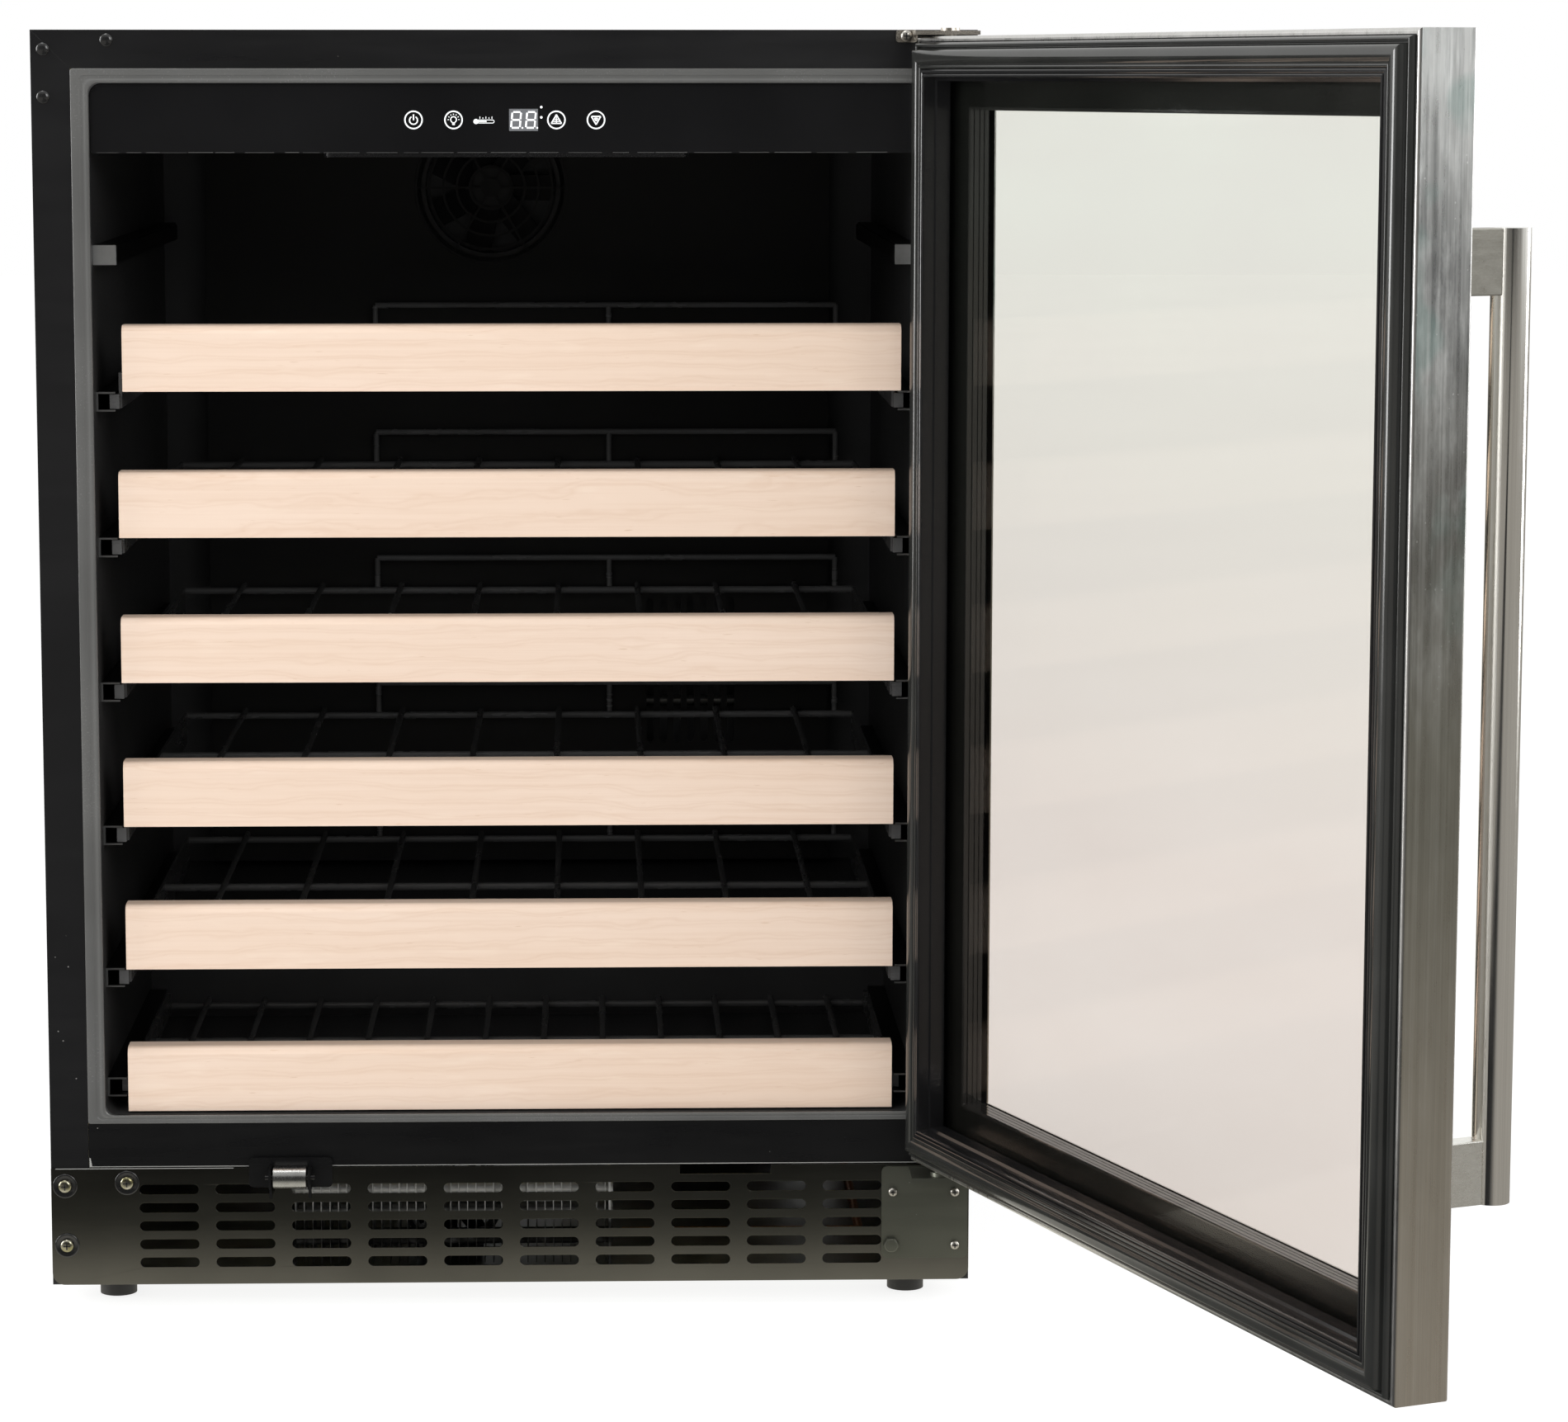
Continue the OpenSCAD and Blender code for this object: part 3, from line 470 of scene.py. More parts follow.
# Painted reflection on the posts: bright low down, dark high up.
POST_PAINTED_REFLECTION = brushed("post_stainless_painted_reflection", (0.97, 0.965, 0.915), (0.33, 0.318, 0.28), 0.3, "X", smear=0.3)
NICKEL = metal("nickel_plate", (0.62, 0.57, 0.50), 0.30, 90)
ZINC = metal("zinc_screws", (0.50, 0.48, 0.44), 0.32, 160)
SLIDE_PAINTED_SHADE = slide_zinc_painted_shade("slide_zinc_painted_shade")
BRASSY = brassy("screw_passivate")
SPACER = plastic("spacer_black", (0.016, 0.0165, 0.016), 0.07, 900, 0.02, 1.0)
FINS = metal("fin_aluminium", (0.55, 0.56, 0.55), 0.38, 70)
FINS_DARK_BELOW = fins_dark_below("fin_dark_below")
COPPER = metal("drawn_copper", (0.70, 0.33, 0.18), 0.30, 50)
GALV = galvanised("galvanised_sheet")
FOAM = foam_mat("insulation_foam")
BOARD = board_mat("circuit_board")
COMPRESSOR = enamel("compressor_enamel", (0.012, 0.012, 0.012), 0.3, 0.5, 0.5, 0.3)
NYLON = metal("roller_satin", (0.42, 0.42, 0.41), 0.26, 60)
ACETAL = plastic("acetal_bush", (0.75, 0.75, 0.72), 0.4)
BLADE = plastic("fan_blade_black", (0.010, 0.010, 0.010), 0.4)
FAN_FRAME = plastic("fan_frame_black", (0.01, 0.01, 0.01), 0.4)
CORE = plastic("door_core_filler", (0.03, 0.03, 0.03), 0.6)
FRIT = plastic("glass_print", (0.006, 0.0065, 0.006), 0.18, 900, 0.03)
LENS = plastic("lamp_lens_smoked", (0.012, 0.012, 0.013), 0.25, 900, 0.05)
DISPLAY = plastic("display_window_grey", (0.15, 0.155, 0.165), 0.2, 900, 0.04)
# Painted glow: the printed icons are given a faint emission.
ICON = glow("printed_white_painted_glow", (0.85, 0.87, 0.88), 0.35)
GLASS = pane("clear_pane")

CAD_LOOK = {
    "outer_shell": SHELL, "cross_rail": RAIL_BLACK, "inner_liner": LINER, "foam_insulation": FOAM,
    "rear_panel": REAR, "machine_cover": REAR, "base_pan": GALV, "kick_grille": GRILLE,
    "cover_screws": ZINC, "front_plugs": PLUG, "control_housing": FASCIA, "display_window": DISPLAY,
    "control_board": BOARD, "interior_light": LENS, "duct_cover": DUCT, "fan_guard": DUCT,
    "evaporator": FINS, "evap_fan_frame": FAN_FRAME, "evap_fan": BLADE, "top_hinge": NICKEL,
    "bottom_hinge": HINGE_PLATE, "hinge_screws": ZINC, "roller_bracket": RAIL_BLACK,
    "support_roller": NYLON, "compressor": COMPRESSOR, "compressor_mounts": RUBBER,
    "condenser": FINS, "condenser_fan_frame": FAN_FRAME, "condenser_fan": BLADE,
    "pipework": COPPER, "cord_gland": RUBBER, "fixed_rails": SLIDE_PAINTED_SHADE, "levelling_feet": FOOT,
    "door_frame": DOOR_STEEL_PAINTED_REFLECTIONS, "door_core": CORE, "door_liner": BLACK_GLOSS, "door_gasket": GASKET,
    "glass_outer": GLASS, "glass_spacer": SPACER, "glass_inner": GLASS, "handle_bar": HANDLE,
    "handle_posts": POST_PAINTED_REFLECTION, "handle_screws": ZINC, "door_bushings": ACETAL,
}
for k in RACKS:
    CAD_LOOK[f"shelf_front_{k}"] = wood(f"beech_board_{k}", k)
    CAD_LOOK[f"shelf_rack_{k}"] = WIRE


def paint(obj, mat):
    obj.data.materials.clear()
    obj.data.materials.append(mat)


for name, mat in CAD_LOOK.items():
    paint(NODES[name], mat)


def soften(name, width, segments=2, angle=35):
    """Rounds the folded or cut edges of a CAD node."""
    o = NODES[name]
    w = o.modifiers.new("weld", "WELD")
    w.merge_threshold = 0.00001
    b = o.modifiers.new("edge", "BEVEL")
    b.width = width
    b.segments = segments
    b.limit_method = "ANGLE"
    b.angle_limit = math.radians(angle)
    b.use_clamp_overlap = True


for k in RACKS:
    soften(f"shelf_front_{k}", 0.0012, 3, 50)
soften("kick_grille", 0.0003)
soften("handle_posts", 0.0006, 3, 60)
soften("bottom_hinge", 0.0005, 2, 50)
soften("top_hinge", 0.0004, 2, 50)


# ---------------------------------------------------------------- mesh helpers
def make(name, verts, faces, mat, body, smooth=False, replaces=()):
    me = bpy.data.meshes.new(name)
    me.from_pydata([tuple(v) for v in verts], [], faces)
    me.validate()
    me.update()
    if smooth:
        for p in me.polygons:
            p.use_smooth = True
    o = bpy.data.objects.new(name, me)
    bpy.context.scene.collection.objects.link(o)
    o.data.materials.append(mat)
    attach(o, body)
    if replaces:
        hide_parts(*replaces)
    return o


class Build:
    """Collects simple closed solids into one mesh."""

    def __init__(self):
        self.v, self.f = [], []

    def add(self, verts, faces):
        k = len(self.v)
        self.v += [Vector(v) for v in verts]
        self.f += [[i + k for i in f] for f in faces]

    def prism(self, pts, y0, y1):
        """Closed XZ outline swept along Y."""
        n = len(pts)
        v = [(x, y0, z) for x, z in pts] + [(x, y1, z) for x, z in pts]
        f = [list(range(n))[::-1], list(range(n, 2 * n))]
        f += [[i, (i + 1) % n, n + (i + 1) % n, n + i] for i in range(n)]
        self.add(v, f)

    def box(self, lo, hi):
        self.prism([(lo[0], lo[2]), (hi[0], lo[2]), (hi[0], hi[2]), (lo[0], hi[2])], lo[1], hi[1])

    def arc(self, cx, cz, r0, r1, a0, a1, y0, y1, n=40):
        """Part of a flat ring, facing -Y."""
        full = abs(a1 - a0) >= 359.9
        rows = []
        for i in range(n if full else n + 1):
            a = math.radians(a0 + (a1 - a0) * i / n)
            c, s = math.cos(a), math.sin(a)
            rows.append([(cx + r0 * c, y0, cz + r0 * s), (cx + r1 * c, y0, cz + r1 * s),
                         (cx + r1 * c, y1, cz + r1 * s), (cx + r0 * c, y1, cz + r0 * s)])
        v = [p for r in rows for p in r]
        m = len(rows)
        f = []
        for i in range(m if full else m - 1):
            a, b = 4 * i, 4 * ((i + 1) % m)
            f += [[a + j, a + (j + 1) % 4, b + (j + 1) % 4, b + j] for j in range(4)]
        if not full:
            f += [[3, 2, 1, 0], [4 * m - 4, 4 * m - 3, 4 * m - 2, 4 * m - 1]]
        self.add(v, f)

    def stroke(self, x0, z0, x1, z1, w, y0, y1):
        d = Vector((x1 - x0, z1 - z0)).normalized() * (w / 2)
        nx, nz = -d.y, d.x
        self.prism([(x0 + nx, z0 + nz), (x0 - nx, z0 - nz), (x1 - nx, z1 - nz), (x1 + nx, z1 + nz)], y0, y1)

    def object(self, name, mat, body, slot_name, smooth=False, replaces=(), swing=None):
        v = [swing @ p for p in self.v] if swing else self.v
        return make(name, v, self.f, mat, body, smooth, replaces)


# ---------------------------------------------------------------- the door's own plane
HINGE = next(j for j in frame["joints"] if j["name"] == "door_hinge")
HP = Vector(HINGE["pos_m"])
OPEN = -math.radians(HINGE["range_deg"][0])
SWING = Matrix.Translation(HP) @ Matrix.Rotation(OPEN, 4, "Z") @ Matrix.Translation(-HP)
SHUT = SWING.inverted()


def closed_box(node):
    """A door node's box with the door turned shut, where its sides lie along the axes."""
    pts = [SHUT @ v.co for v in NODES[node].data.vertices]
    return (Vector([min(p[i] for p in pts) for i in range(3)]),
            Vector([max(p[i] for p in pts) for i in range(3)]))


D0, D1 = closed_box("door_frame")


def ring_profile(b, profile, box=(D0, D1)):
    """Sweeps a closed (inset, depth) profile round the door, one mitred length for each side."""
    lo, hi = box
    n = len(profile)

    def row(c):
        out = []
        for s, d in profile:
            x = lo.x + s if c in (0, 3) else hi.x - s
            z = lo.z + s if c in (0, 1) else hi.z - s
            out.append((x, lo.y + d, z))
        return out

    for c in range(4):
        b.add(row(c) + row((c + 1) % 4), [[i, (i + 1) % n, n + (i + 1) % n, n + i] for i in range(n)])


def half_round(s0, s1, d, h, n=8):
    """Points of a rounded rib between two insets."""
    return [(s0 + (s1 - s0) * (0.5 - 0.5 * math.cos(math.pi * i / n)),
             d + h * math.sin(math.pi * i / n)) for i in range(n + 1)]


def mm_profile(points):
    return [(s * MM, d * MM) for s, d in points]


def clusters(node, gap=20 * MM):
    """Boxes of the separate small parts in one CAD node, told apart in the XZ plane."""
    groups = []
    for v in NODES[node].data.vertices:
        for g_ in groups:
            if math.hypot(g_[0].x - v.co.x, g_[0].z - v.co.z) < gap:
                g_.append(v.co)
                break
        else:
            groups.append([v.co])
    return [(Vector([min(p[i] for p in g_) for i in range(3)]),
             Vector([max(p[i] for p in g_) for i in range(3)])) for g_ in groups]


# Gasket: outer roll, a dark channel, a broad pillow over the magnet and an inner band.
TOP = (closed_box("door_gasket")[1].y - D0.y) / MM
prof = [(3.9, TOP - 9.6)] + half_round(3.82, 7.0, TOP - 8.3, 3.0)
prof += [(7.3, TOP - 8.3), (7.9, TOP - 8.3), (8.1, TOP - 5.2), (8.3, TOP - 2.6), (8.7, TOP - 1.55),
         (9.4, TOP - 0.95), (10.4, TOP - 0.5), (11.8, TOP - 0.18), (13.2, TOP), (14.6, TOP - 0.1),
         (15.8, TOP - 0.4), (16.7, TOP - 0.85), (17.3, TOP - 1.5), (17.5, TOP - 2.1), (17.8, TOP - 2.1),
         (18.0, TOP - 1.45), (18.6, TOP - 1.25), (19.6, TOP - 1.3), (20.1, TOP - 1.7), (20.2, TOP - 3.0),
         (20.2, TOP - 9.6)]
g = Build()
ring_profile(g, mm_profile(prof))
g.object("gasket_moulded", GASKET, "door", "gasket", True, ("door_gasket",), SWING)

# Stepped black extrusion between the gasket and the glass.
LT = (closed_box("door_liner")[1].y - D0.y) / MM
g = Build()
ring_profile(g, mm_profile([
    (1.45, 28.0), (1.45, 32.6), (7.6, 32.6), (7.6, 33.05), (20.5, 33.05), (20.5, LT - 1.2), (20.7, LT - 0.5),
    (21.2, LT - 0.25), (22.4, LT - 0.25), (22.9, LT - 0.5), (23.1, LT - 1.3), (23.4, LT - 1.3),
    (23.6, LT - 0.35), (24.0, LT), (24.9, LT), (25.3, LT - 0.35), (25.5, LT - 1.4), (25.8, LT - 8.0),
    (27.6, LT - 8.6), (28.0, 24.2), (27.6, 23.6), (20.5, 23.6), (20.5, 28.0)]))
g.object("door_inner_extrusion", BLACK_GLOSS, "door", "door_plastic", False, ("door_liner",), SWING)

# Printed borders on both panes and the slotted spacer bar between them.
out_in = closed_box("glass_outer")[1].y - D0.y
in_out = closed_box("glass_inner")[0].y - D0.y
g = Build()
ring_profile(g, [(35.2 * MM, out_in + 0.02 * MM), (44.8 * MM, out_in + 0.02 * MM),
                 (44.8 * MM, out_in + 0.08 * MM), (35.2 * MM, out_in + 0.08 * MM)])
ring_profile(g, [(16.5 * MM, in_out - 0.08 * MM), (43.6 * MM, in_out - 0.08 * MM),
                 (43.6 * MM, in_out - 0.02 * MM), (16.5 * MM, in_out - 0.02 * MM)])
g.object("glass_border_print", FRIT, "door", "door_plastic", False, (), SWING)
# The spacer bar between the panes, with grooves along its seen face.
g = Build()
o_in, i_out = out_in / MM, in_out / MM
face = [(45.5, o_in + 0.8)]
for d in (o_in + 3.4, o_in + 6.6, o_in + 10.4):
    face += [(45.5, d), (44.7, d + 0.1), (44.7, d + 0.55), (45.5, d + 0.65)]
face.append((45.5, i_out - 0.8))
ring_profile(g, mm_profile([(38.0, o_in + 0.15), (44.9, o_in + 0.15)] + face +
                           [(44.9, i_out - 0.15), (38.0, i_out - 0.15)]))
g.object("spacer_bar", SPACER, "door", "spacer", False, ("glass_spacer",), SWING)

# ---------------------------------------------------------------- control icons
dw0, dw1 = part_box("display_window")
ch0, ch1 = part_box("control_housing")
cx = (dw0.x + dw1.x) / 2
cz = (dw0.z + dw1.z) / 2
INK_GAP, INK = 0.02 * MM, 0.08 * MM      # the print's gap from its surface, and its thickness
POWER_X, LAMP_X, SIGN_X, UP_X, DOWN_X = (k * MM for k in (-69.3, -44.1, -25.1, 20.7, 45.7))
Y1 = ch0.y - INK_GAP
Y0 = Y1 - INK
icons = Build()


def icon_ring(x):
    icons.arc(x, cz, 4.98 * MM, 5.85 * MM, 0, 360, Y0, Y1, 48)


def line(x0, z0, x1, z1, w=0.62):
    icons.stroke(x0, z0, x1, z1, w * MM, Y0, Y1)


def polar(x, z, r, deg):
    """Point at r millimetres and an angle from (x, z)."""
    a = math.radians(deg)
    return x + r * MM * math.cos(a), z + r * MM * math.sin(a)


# Power: an open ring with a stroke through its gap.
px = cx + POWER_X
icon_ring(px)
icons.arc(px, cz - 0.2 * MM, 2.1 * MM, 2.9 * MM, 122, 418, Y0, Y1, 30)
line(px, cz - 0.2 * MM, px, cz + 3.5 * MM, 0.8)

# Lamp: an open bulb over a filled base, with rays.
bx = cx + LAMP_X
icon_ring(bx)
icons.arc(bx, cz + 0.2 * MM, 1.5 * MM, 2.15 * MM, -62, 242, Y0, Y1, 30)
icons.prism([(bx - 0.95 * MM, cz - 1.5 * MM), (bx + 0.95 * MM, cz - 1.5 * MM),
             (bx + 0.75 * MM, cz - 3.2 * MM), (bx - 0.75 * MM, cz - 3.2 * MM)], Y0, Y1)
for a in range(0, 181, 30):
    line(*polar(bx, cz + 0.2 * MM, 3.0, a), *polar(bx, cz + 0.2 * MM, 3.7, a), 0.55)

# Thermometer lying on its side in place of the printed word.
tx, tz = cx + SIGN_X, cz - 1.0 * MM
icons.arc(tx - 4.9 * MM, tz, 0.0, 1.6 * MM, 0, 360, Y0, Y1, 24)
for sgn in (-1, 1):
    line(tx - 3.6 * MM, tz + sgn * 0.95 * MM, tx + 5.6 * MM, tz + sgn * 0.95 * MM, 0.42)
icons.arc(tx + 5.6 * MM, tz, 0.74 * MM, 1.16 * MM, -90, 90, Y0, Y1, 14)
line(tx - 4.0 * MM, tz, tx + 1.8 * MM, tz, 0.8)
for j in range(5):
    x = tx + (-2.4 + 1.9 * j) * MM
    line(x, tz + 1.7 * MM, x, tz + (3.1 if j % 2 == 0 else 2.6) * MM, 0.42)

# Arrows: one filled with inner lines, one open with a small triangle inside.
ux = cx + UP_X
icon_ring(ux)
tri = [polar(ux, cz - 0.35 * MM, 3.7, a) for a in (90, 210, 330)]
for i in range(3):
    line(*tri[i], *tri[(i + 1) % 3], 0.75)
for h in (-0.9, 0.35):
    half = (3.35 - h - 0.35) * 0.52
    line(ux - half * MM, cz + h * MM, ux + half * MM, cz + h * MM, 0.5)
line(ux, cz - 2.0 * MM, ux, cz + 2.6 * MM, 0.5)
vx = cx + DOWN_X
icon_ring(vx)
for r, w in ((3.4, 0.8), (1.15, 0.75)):
    tri = [polar(vx, cz + 0.45 * MM, r, a) for a in (-90, 30, 150)]
    for i in range(3):
        line(*tri[i], *tri[(i + 1) % 3], w)
icons.object("panel_icons", ICON, "cabinet", "fascia")

# Two slanted 7-segment figures, each with its point, and two lamps beside them.
digits = Build()
YD1 = dw0.y - INK_GAP
YD0 = YD1 - INK
for dx in (-4.7, 4.6):
    x, w, h = cx + dx * MM, 2.75 * MM, 4.95 * MM      # centre, half width and segment height
    t, sl = 1.0 * MM, 0.45 * MM                       # stroke and slant
    for lvl in (-1, 0, 1):
        mid = x + sl * lvl
        digits.stroke(mid - w * 0.78, cz + lvl * h, mid + w * 0.78, cz + lvl * h, t, YD0, YD1)
    for sgn in (-1, 1):
        for lvl in (-0.5, 0.5):
            digits.stroke(x + sgn * w + sl * (lvl - 0.4), cz + (lvl - 0.4) * h,
                          x + sgn * w + sl * (lvl + 0.4), cz + (lvl + 0.4) * h, t, YD0, YD1)
    digits.arc(x + w + 1.2 * MM, cz - h, 0.0, 0.55 * MM, 0, 360, YD0, YD1, 16)
for dz in (8.0, 1.6):
    digits.arc(cx + 11.2 * MM, cz + dz * MM, 0.0, 0.75 * MM, 0, 360, Y0, Y1, 16)
digits.object("display_digits", glow("segment_white", (0.95, 0.96, 0.97), 0.75), "cabinet", "display")

# ---------------------------------------------------------------- cabinet front details
sh0, sh1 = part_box("outer_shell")
il0, il1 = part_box("inner_liner")
cr0, cr1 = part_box("cross_rail")
FY = sh0.y

# Rolled lip round the liner's mouth: a flat band, a shallow step and a bullnose.
LIP_SIDE, LIP_TOP, LIP_LOW = 11.4 * MM, 9.2 * MM, 5.5 * MM
LIP_R0, LIP_R1 = 1.5 * MM, 6.0 * MM
lp = [(0.0, 0.5), (0.0, -0.25), (0.012, -0.5), (0.035, -0.66), (0.07, -0.72), (0.42, -0.72), (0.47, -0.62),
      (0.50, -0.30), (0.54, -0.22), (0.66, -0.22), (0.71, -0.38), (0.76, -0.72), (0.81, -0.92),
      (0.86, -0.98), (0.91, -0.9), (0.95, -0.65), (0.98, -0.2), (1.0, 0.6), (1.0, 1.6), (0.9, 1.6)]


def lip_ring(b, profile, n=6):
    """Sweeps a (share of width, depth in mm) profile round the liner's mouth."""
    rows = []
    for sx, sz, a0 in ((1, 1, 0), (-1, 1, 90), (-1, -1, 180), (1, -1, 270)):
        for i in range(n + 1):
            a = math.radians(a0 + 90 * i / n)
            row = []
            for t, d in profile:
                r = LIP_R0 + (LIP_R1 - LIP_R0) * t
                ex = (il1.x if sx > 0 else -il0.x) - LIP_SIDE * t - r
                ez = (il1.z - LIP_TOP * t - r) if sz > 0 else (il0.z + LIP_LOW * t + r)
                row.append((sx * ex + r * math.cos(a), FY + d * MM, ez + r * math.sin(a)))
            rows.append(row)
    m, k = len(rows), len(profile)
    f = []
    for i in range(m):
        a, e = i * k, ((i + 1) % m) * k
        f += [[a + j, a + (j + 1) % k, e + (j + 1) % k, e + j] for j in range(k)]
    b.add([q for r_ in rows for q in r_], f)


lip = Build()
lip_ring(lip, lp)
lip.object("liner_lip_bead", LIP, "cabinet", "liner_plastic", True)


def lathe(b, cx_, cz_, y, profile, n=28):
    """Closed solid turned about an axis along Y; profile is (radius, depth) from the rim to the middle."""
    k = len(profile)
    v = []
    for i in range(n):
        a = 2 * math.pi * i / n
        v += [(cx_ + r * MM * math.cos(a), y + d * MM, cz_ + r * MM * math.sin(a)) for r, d in profile]
    c_front, c_back = len(v), len(v) + 1
    v += [(cx_, y + profile[-1][1] * MM, cz_), (cx_, y + profile[0][1] * MM, cz_)]
    f = []
    for i in range(n):
        a, e = i * k, ((i + 1) % n) * k
        f += [[a + j, a + j + 1, e + j + 1, e + j] for j in range(k - 1)]
        f += [[a + k - 1, c_front, e + k - 1], [a, e, c_back]]
    b.add(v, f)


# Domed blanking plugs in the left band.
plugs = Build()
for lo, hi in clusters("front_plugs"):
    lathe(plugs, (lo.x + hi.x) / 2, (lo.z + hi.z) / 2, FY, [
        (3.6, 0.0), (4.1, -0.05), (4.15, -0.35), (4.0, -0.6), (3.6, -0.95), (3.0, -1.3), (2.2, -1.55),
        (1.2, -1.72), (0.5, -1.77)])
plugs.object("plug_domes", PLUG, "cabinet", "plug_plastic", True, ("front_plugs",))

# Machine-compartment screws: dished washers under pan heads, each with a black cross as painted shade for
# its cross recess.
heads, washers, recess_shade = Build(), Build(), Build()
for lo, hi in clusters("cover_screws"):
    x, z, y = (lo.x + hi.x) / 2, (lo.z + hi.z) / 2, lo.y + 3.2 * MM
    lathe(washers, x, z, y, [
        (7.4, 0.0), (8.0, -0.1), (8.05, -0.5), (7.8, -0.85), (7.3, -1.0), (6.7, -0.9), (5.6, -0.6),
        (4.4, -0.45), (2.0, -0.42)])
    lathe(heads, x, z, y, [
        (4.2, -0.4), (4.3, -0.6), (4.3, -1.5), (4.15, -2.0), (3.7, -2.5), (2.9, -2.88), (1.9, -3.08),
        (0.8, -3.15)])
    # Black cross: painted shade in place of the cross recess.
    for w_, h_ in ((2.3, 0.42), (0.42, 2.3)):
        recess_shade.box((x - w_ * MM, y - 3.18 * MM, z - h_ * MM), (x + w_ * MM, y - 2.9 * MM, z + h_ * MM))
heads.object("cover_screw_heads", BRASSY, "cabinet", "bright_screw", True, ("cover_screws",))
washers.object("cover_screw_washers", PLUG, "cabinet", "bright_screw", True)
recess_shade.object("cover_screw_recess_shade", RUBBER, "cabinet", "bright_screw")

# Hinge screws: three small pan heads and one hexagon bolt.
small, cross_shade, bolt = Build(), Build(), Build()
for lo, hi in clusters("hinge_screws"):
    x, z = (lo.x + hi.x) / 2, (lo.z + hi.z) / 2
    half = (hi.x - lo.x) / 2
    if half > 4.4 * MM:
        ring = [polar(x, z, 5.2, 60 * i) for i in range(6)]
        bolt.prism(ring, lo.y + 0.4 * MM, lo.y + 3.5 * MM)
        lathe(bolt, x, z, lo.y + 0.6 * MM, [(4.4, 0.0), (4.4, -0.2), (3.8, -0.5), (1.0, -0.6)], 24)
        continue
    r = half / MM
    y = lo.y + 2.9 * MM
    lathe(small, x, z, y, [(r * 0.9, 0.0), (r, -0.4), (r, -1.2), (r * 0.9, -1.9), (r * 0.65, -2.5),
                           (r * 0.3, -2.8)], 24)
    # Black cross: painted shade in place of the cross recess.
    for w_, h_ in ((r * 0.55, 0.36), (0.36, r * 0.55)):
        cross_shade.box((x - w_ * MM, y - 2.88 * MM, z - h_ * MM), (x + w_ * MM, y - 2.3 * MM, z + h_ * MM))
small.object("hinge_screw_heads", ZINC, "cabinet", "bright_screw", True, ("hinge_screws",))
cross_shade.object("hinge_screw_recess_shade", RUBBER, "cabinet", "bright_screw")
bolt.object("hinge_bolt", HINGE_PLATE, "cabinet", "bright_screw", False, ("hinge_screws",))

# Pale strips along two cut edges: painted edge highlights along the cross rail's lower edge and the grille's
# top edge, with paint worn pale at the rail's left corner.
kg0, kg1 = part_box("kick_grille")
wear_and_highlight = Build()
wear_and_highlight.prism([(cr0.x + 0.3 * MM, cr0.z + 0.15 * MM), (cr1.x - 0.3 * MM, cr0.z + 0.15 * MM),
            (cr1.x - 0.3 * MM, cr0.z + 0.65 * MM), (cr0.x + 2.0 * MM, cr0.z + 0.6 * MM),
            (cr0.x + 1.0 * MM, cr0.z + 6.0 * MM), (cr0.x + 0.3 * MM, cr0.z + 6.4 * MM)],
           cr0.y - 0.06 * MM, cr0.y + 0.1 * MM)
wear_and_highlight.prism([(kg0.x + 3 * MM, kg1.z - 0.5 * MM), (kg0.x + 118 * MM, kg1.z - 0.45 * MM),
            (kg0.x + 118 * MM, kg1.z - 0.05 * MM), (kg0.x + 3 * MM, kg1.z - 0.05 * MM)],
           kg0.y - 0.05 * MM, kg0.y + 0.1 * MM)
wear_and_highlight.object("edge_highlights_and_worn_paint", WORN_AND_HIGHLIGHT, "cabinet", "shell_steel")

# Dust along the fascia's lower edge.
dust = Build()
x = ch0.x + 4 * MM
while x < ch1.x - 30 * MM:
    w_ = rng.uniform(8, 26) * MM
    dust.box((x, ch0.y - 0.05 * MM, ch0.z + 0.1 * MM),
             (x + w_, ch0.y + 0.1 * MM, ch0.z + rng.uniform(0.3, 0.6) * MM))
    x += w_ + rng.uniform(0.5, 7) * MM
dust.object("fascia_edge_dust", DUST, "cabinet", "fascia")

# Mitred seams where the front bands meet.
seam = Build()
for s in (-1, 1):
    x0, x1 = s * (sh1.x - 0.5 * MM), s * il1.x
    seam.stroke(x0, sh1.z - 0.5 * MM, x1, il1.z, 0.35 * MM, FY - 0.05 * MM, FY + 0.2 * MM)
seam.object("band_mitre_seam", RUBBER, "cabinet", "shell_steel")

# Condenser: close-pitched fins on three rows of two tubes, between two end plates.
FIN_PITCH, FIN_T, TUBE_R, TUBE_SIDES = 5.6 * MM, 0.5 * MM, 3.4 * MM, 16
TUBE_Z, TUBE_Y = (38, 55, 72), (11, 27)
c0, c1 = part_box("condenser")
fins = Build()
x = c0.x + 5 * MM
while x < c1.x - 5 * MM:
    lean = rng.uniform(-0.35, 0.35) * MM
    fins.prism([(x, c0.z + 7.4 * MM), (x + FIN_T, c0.z + 7.4 * MM), (x + FIN_T + lean, c1.z - 2 * MM),
                (x + lean, c1.z - 2 * MM)], c0.y + 2 * MM, c1.y - 2 * MM)
    x += FIN_PITCH
for zz in TUBE_Z:
    for yy in TUBE_Y:
        n = TUBE_SIDES
        ring = [(c0.y + yy * MM + TUBE_R * math.cos(2 * math.pi * i / n),
                 zz * MM + TUBE_R * math.sin(2 * math.pi * i / n)) for i in range(n)]
        v = [(c0.x, a, b) for a, b in ring] + [(c1.x, a, b) for a, b in ring]
        f = [list(range(n))[::-1], list(range(n, 2 * n))]
        f += [[i, (i + 1) % n, n + (i + 1) % n, n + i] for i in range(n)]
        fins.add(v, f)
for xx in (c0.x + 1.2 * MM, c1.x - 2.8 * MM):
    fins.box((xx, c0.y, c0.z), (xx + 1.5 * MM, c1.y, c1.z))
fins.object("condenser_fin_pack", FINS_DARK_BELOW, "cabinet", "coil_metal", False, ("condenser",))

# ---------------------------------------------------------------- stage, light, camera
scene = bpy.context.scene
scene.view_settings.view_transform = "Standard"


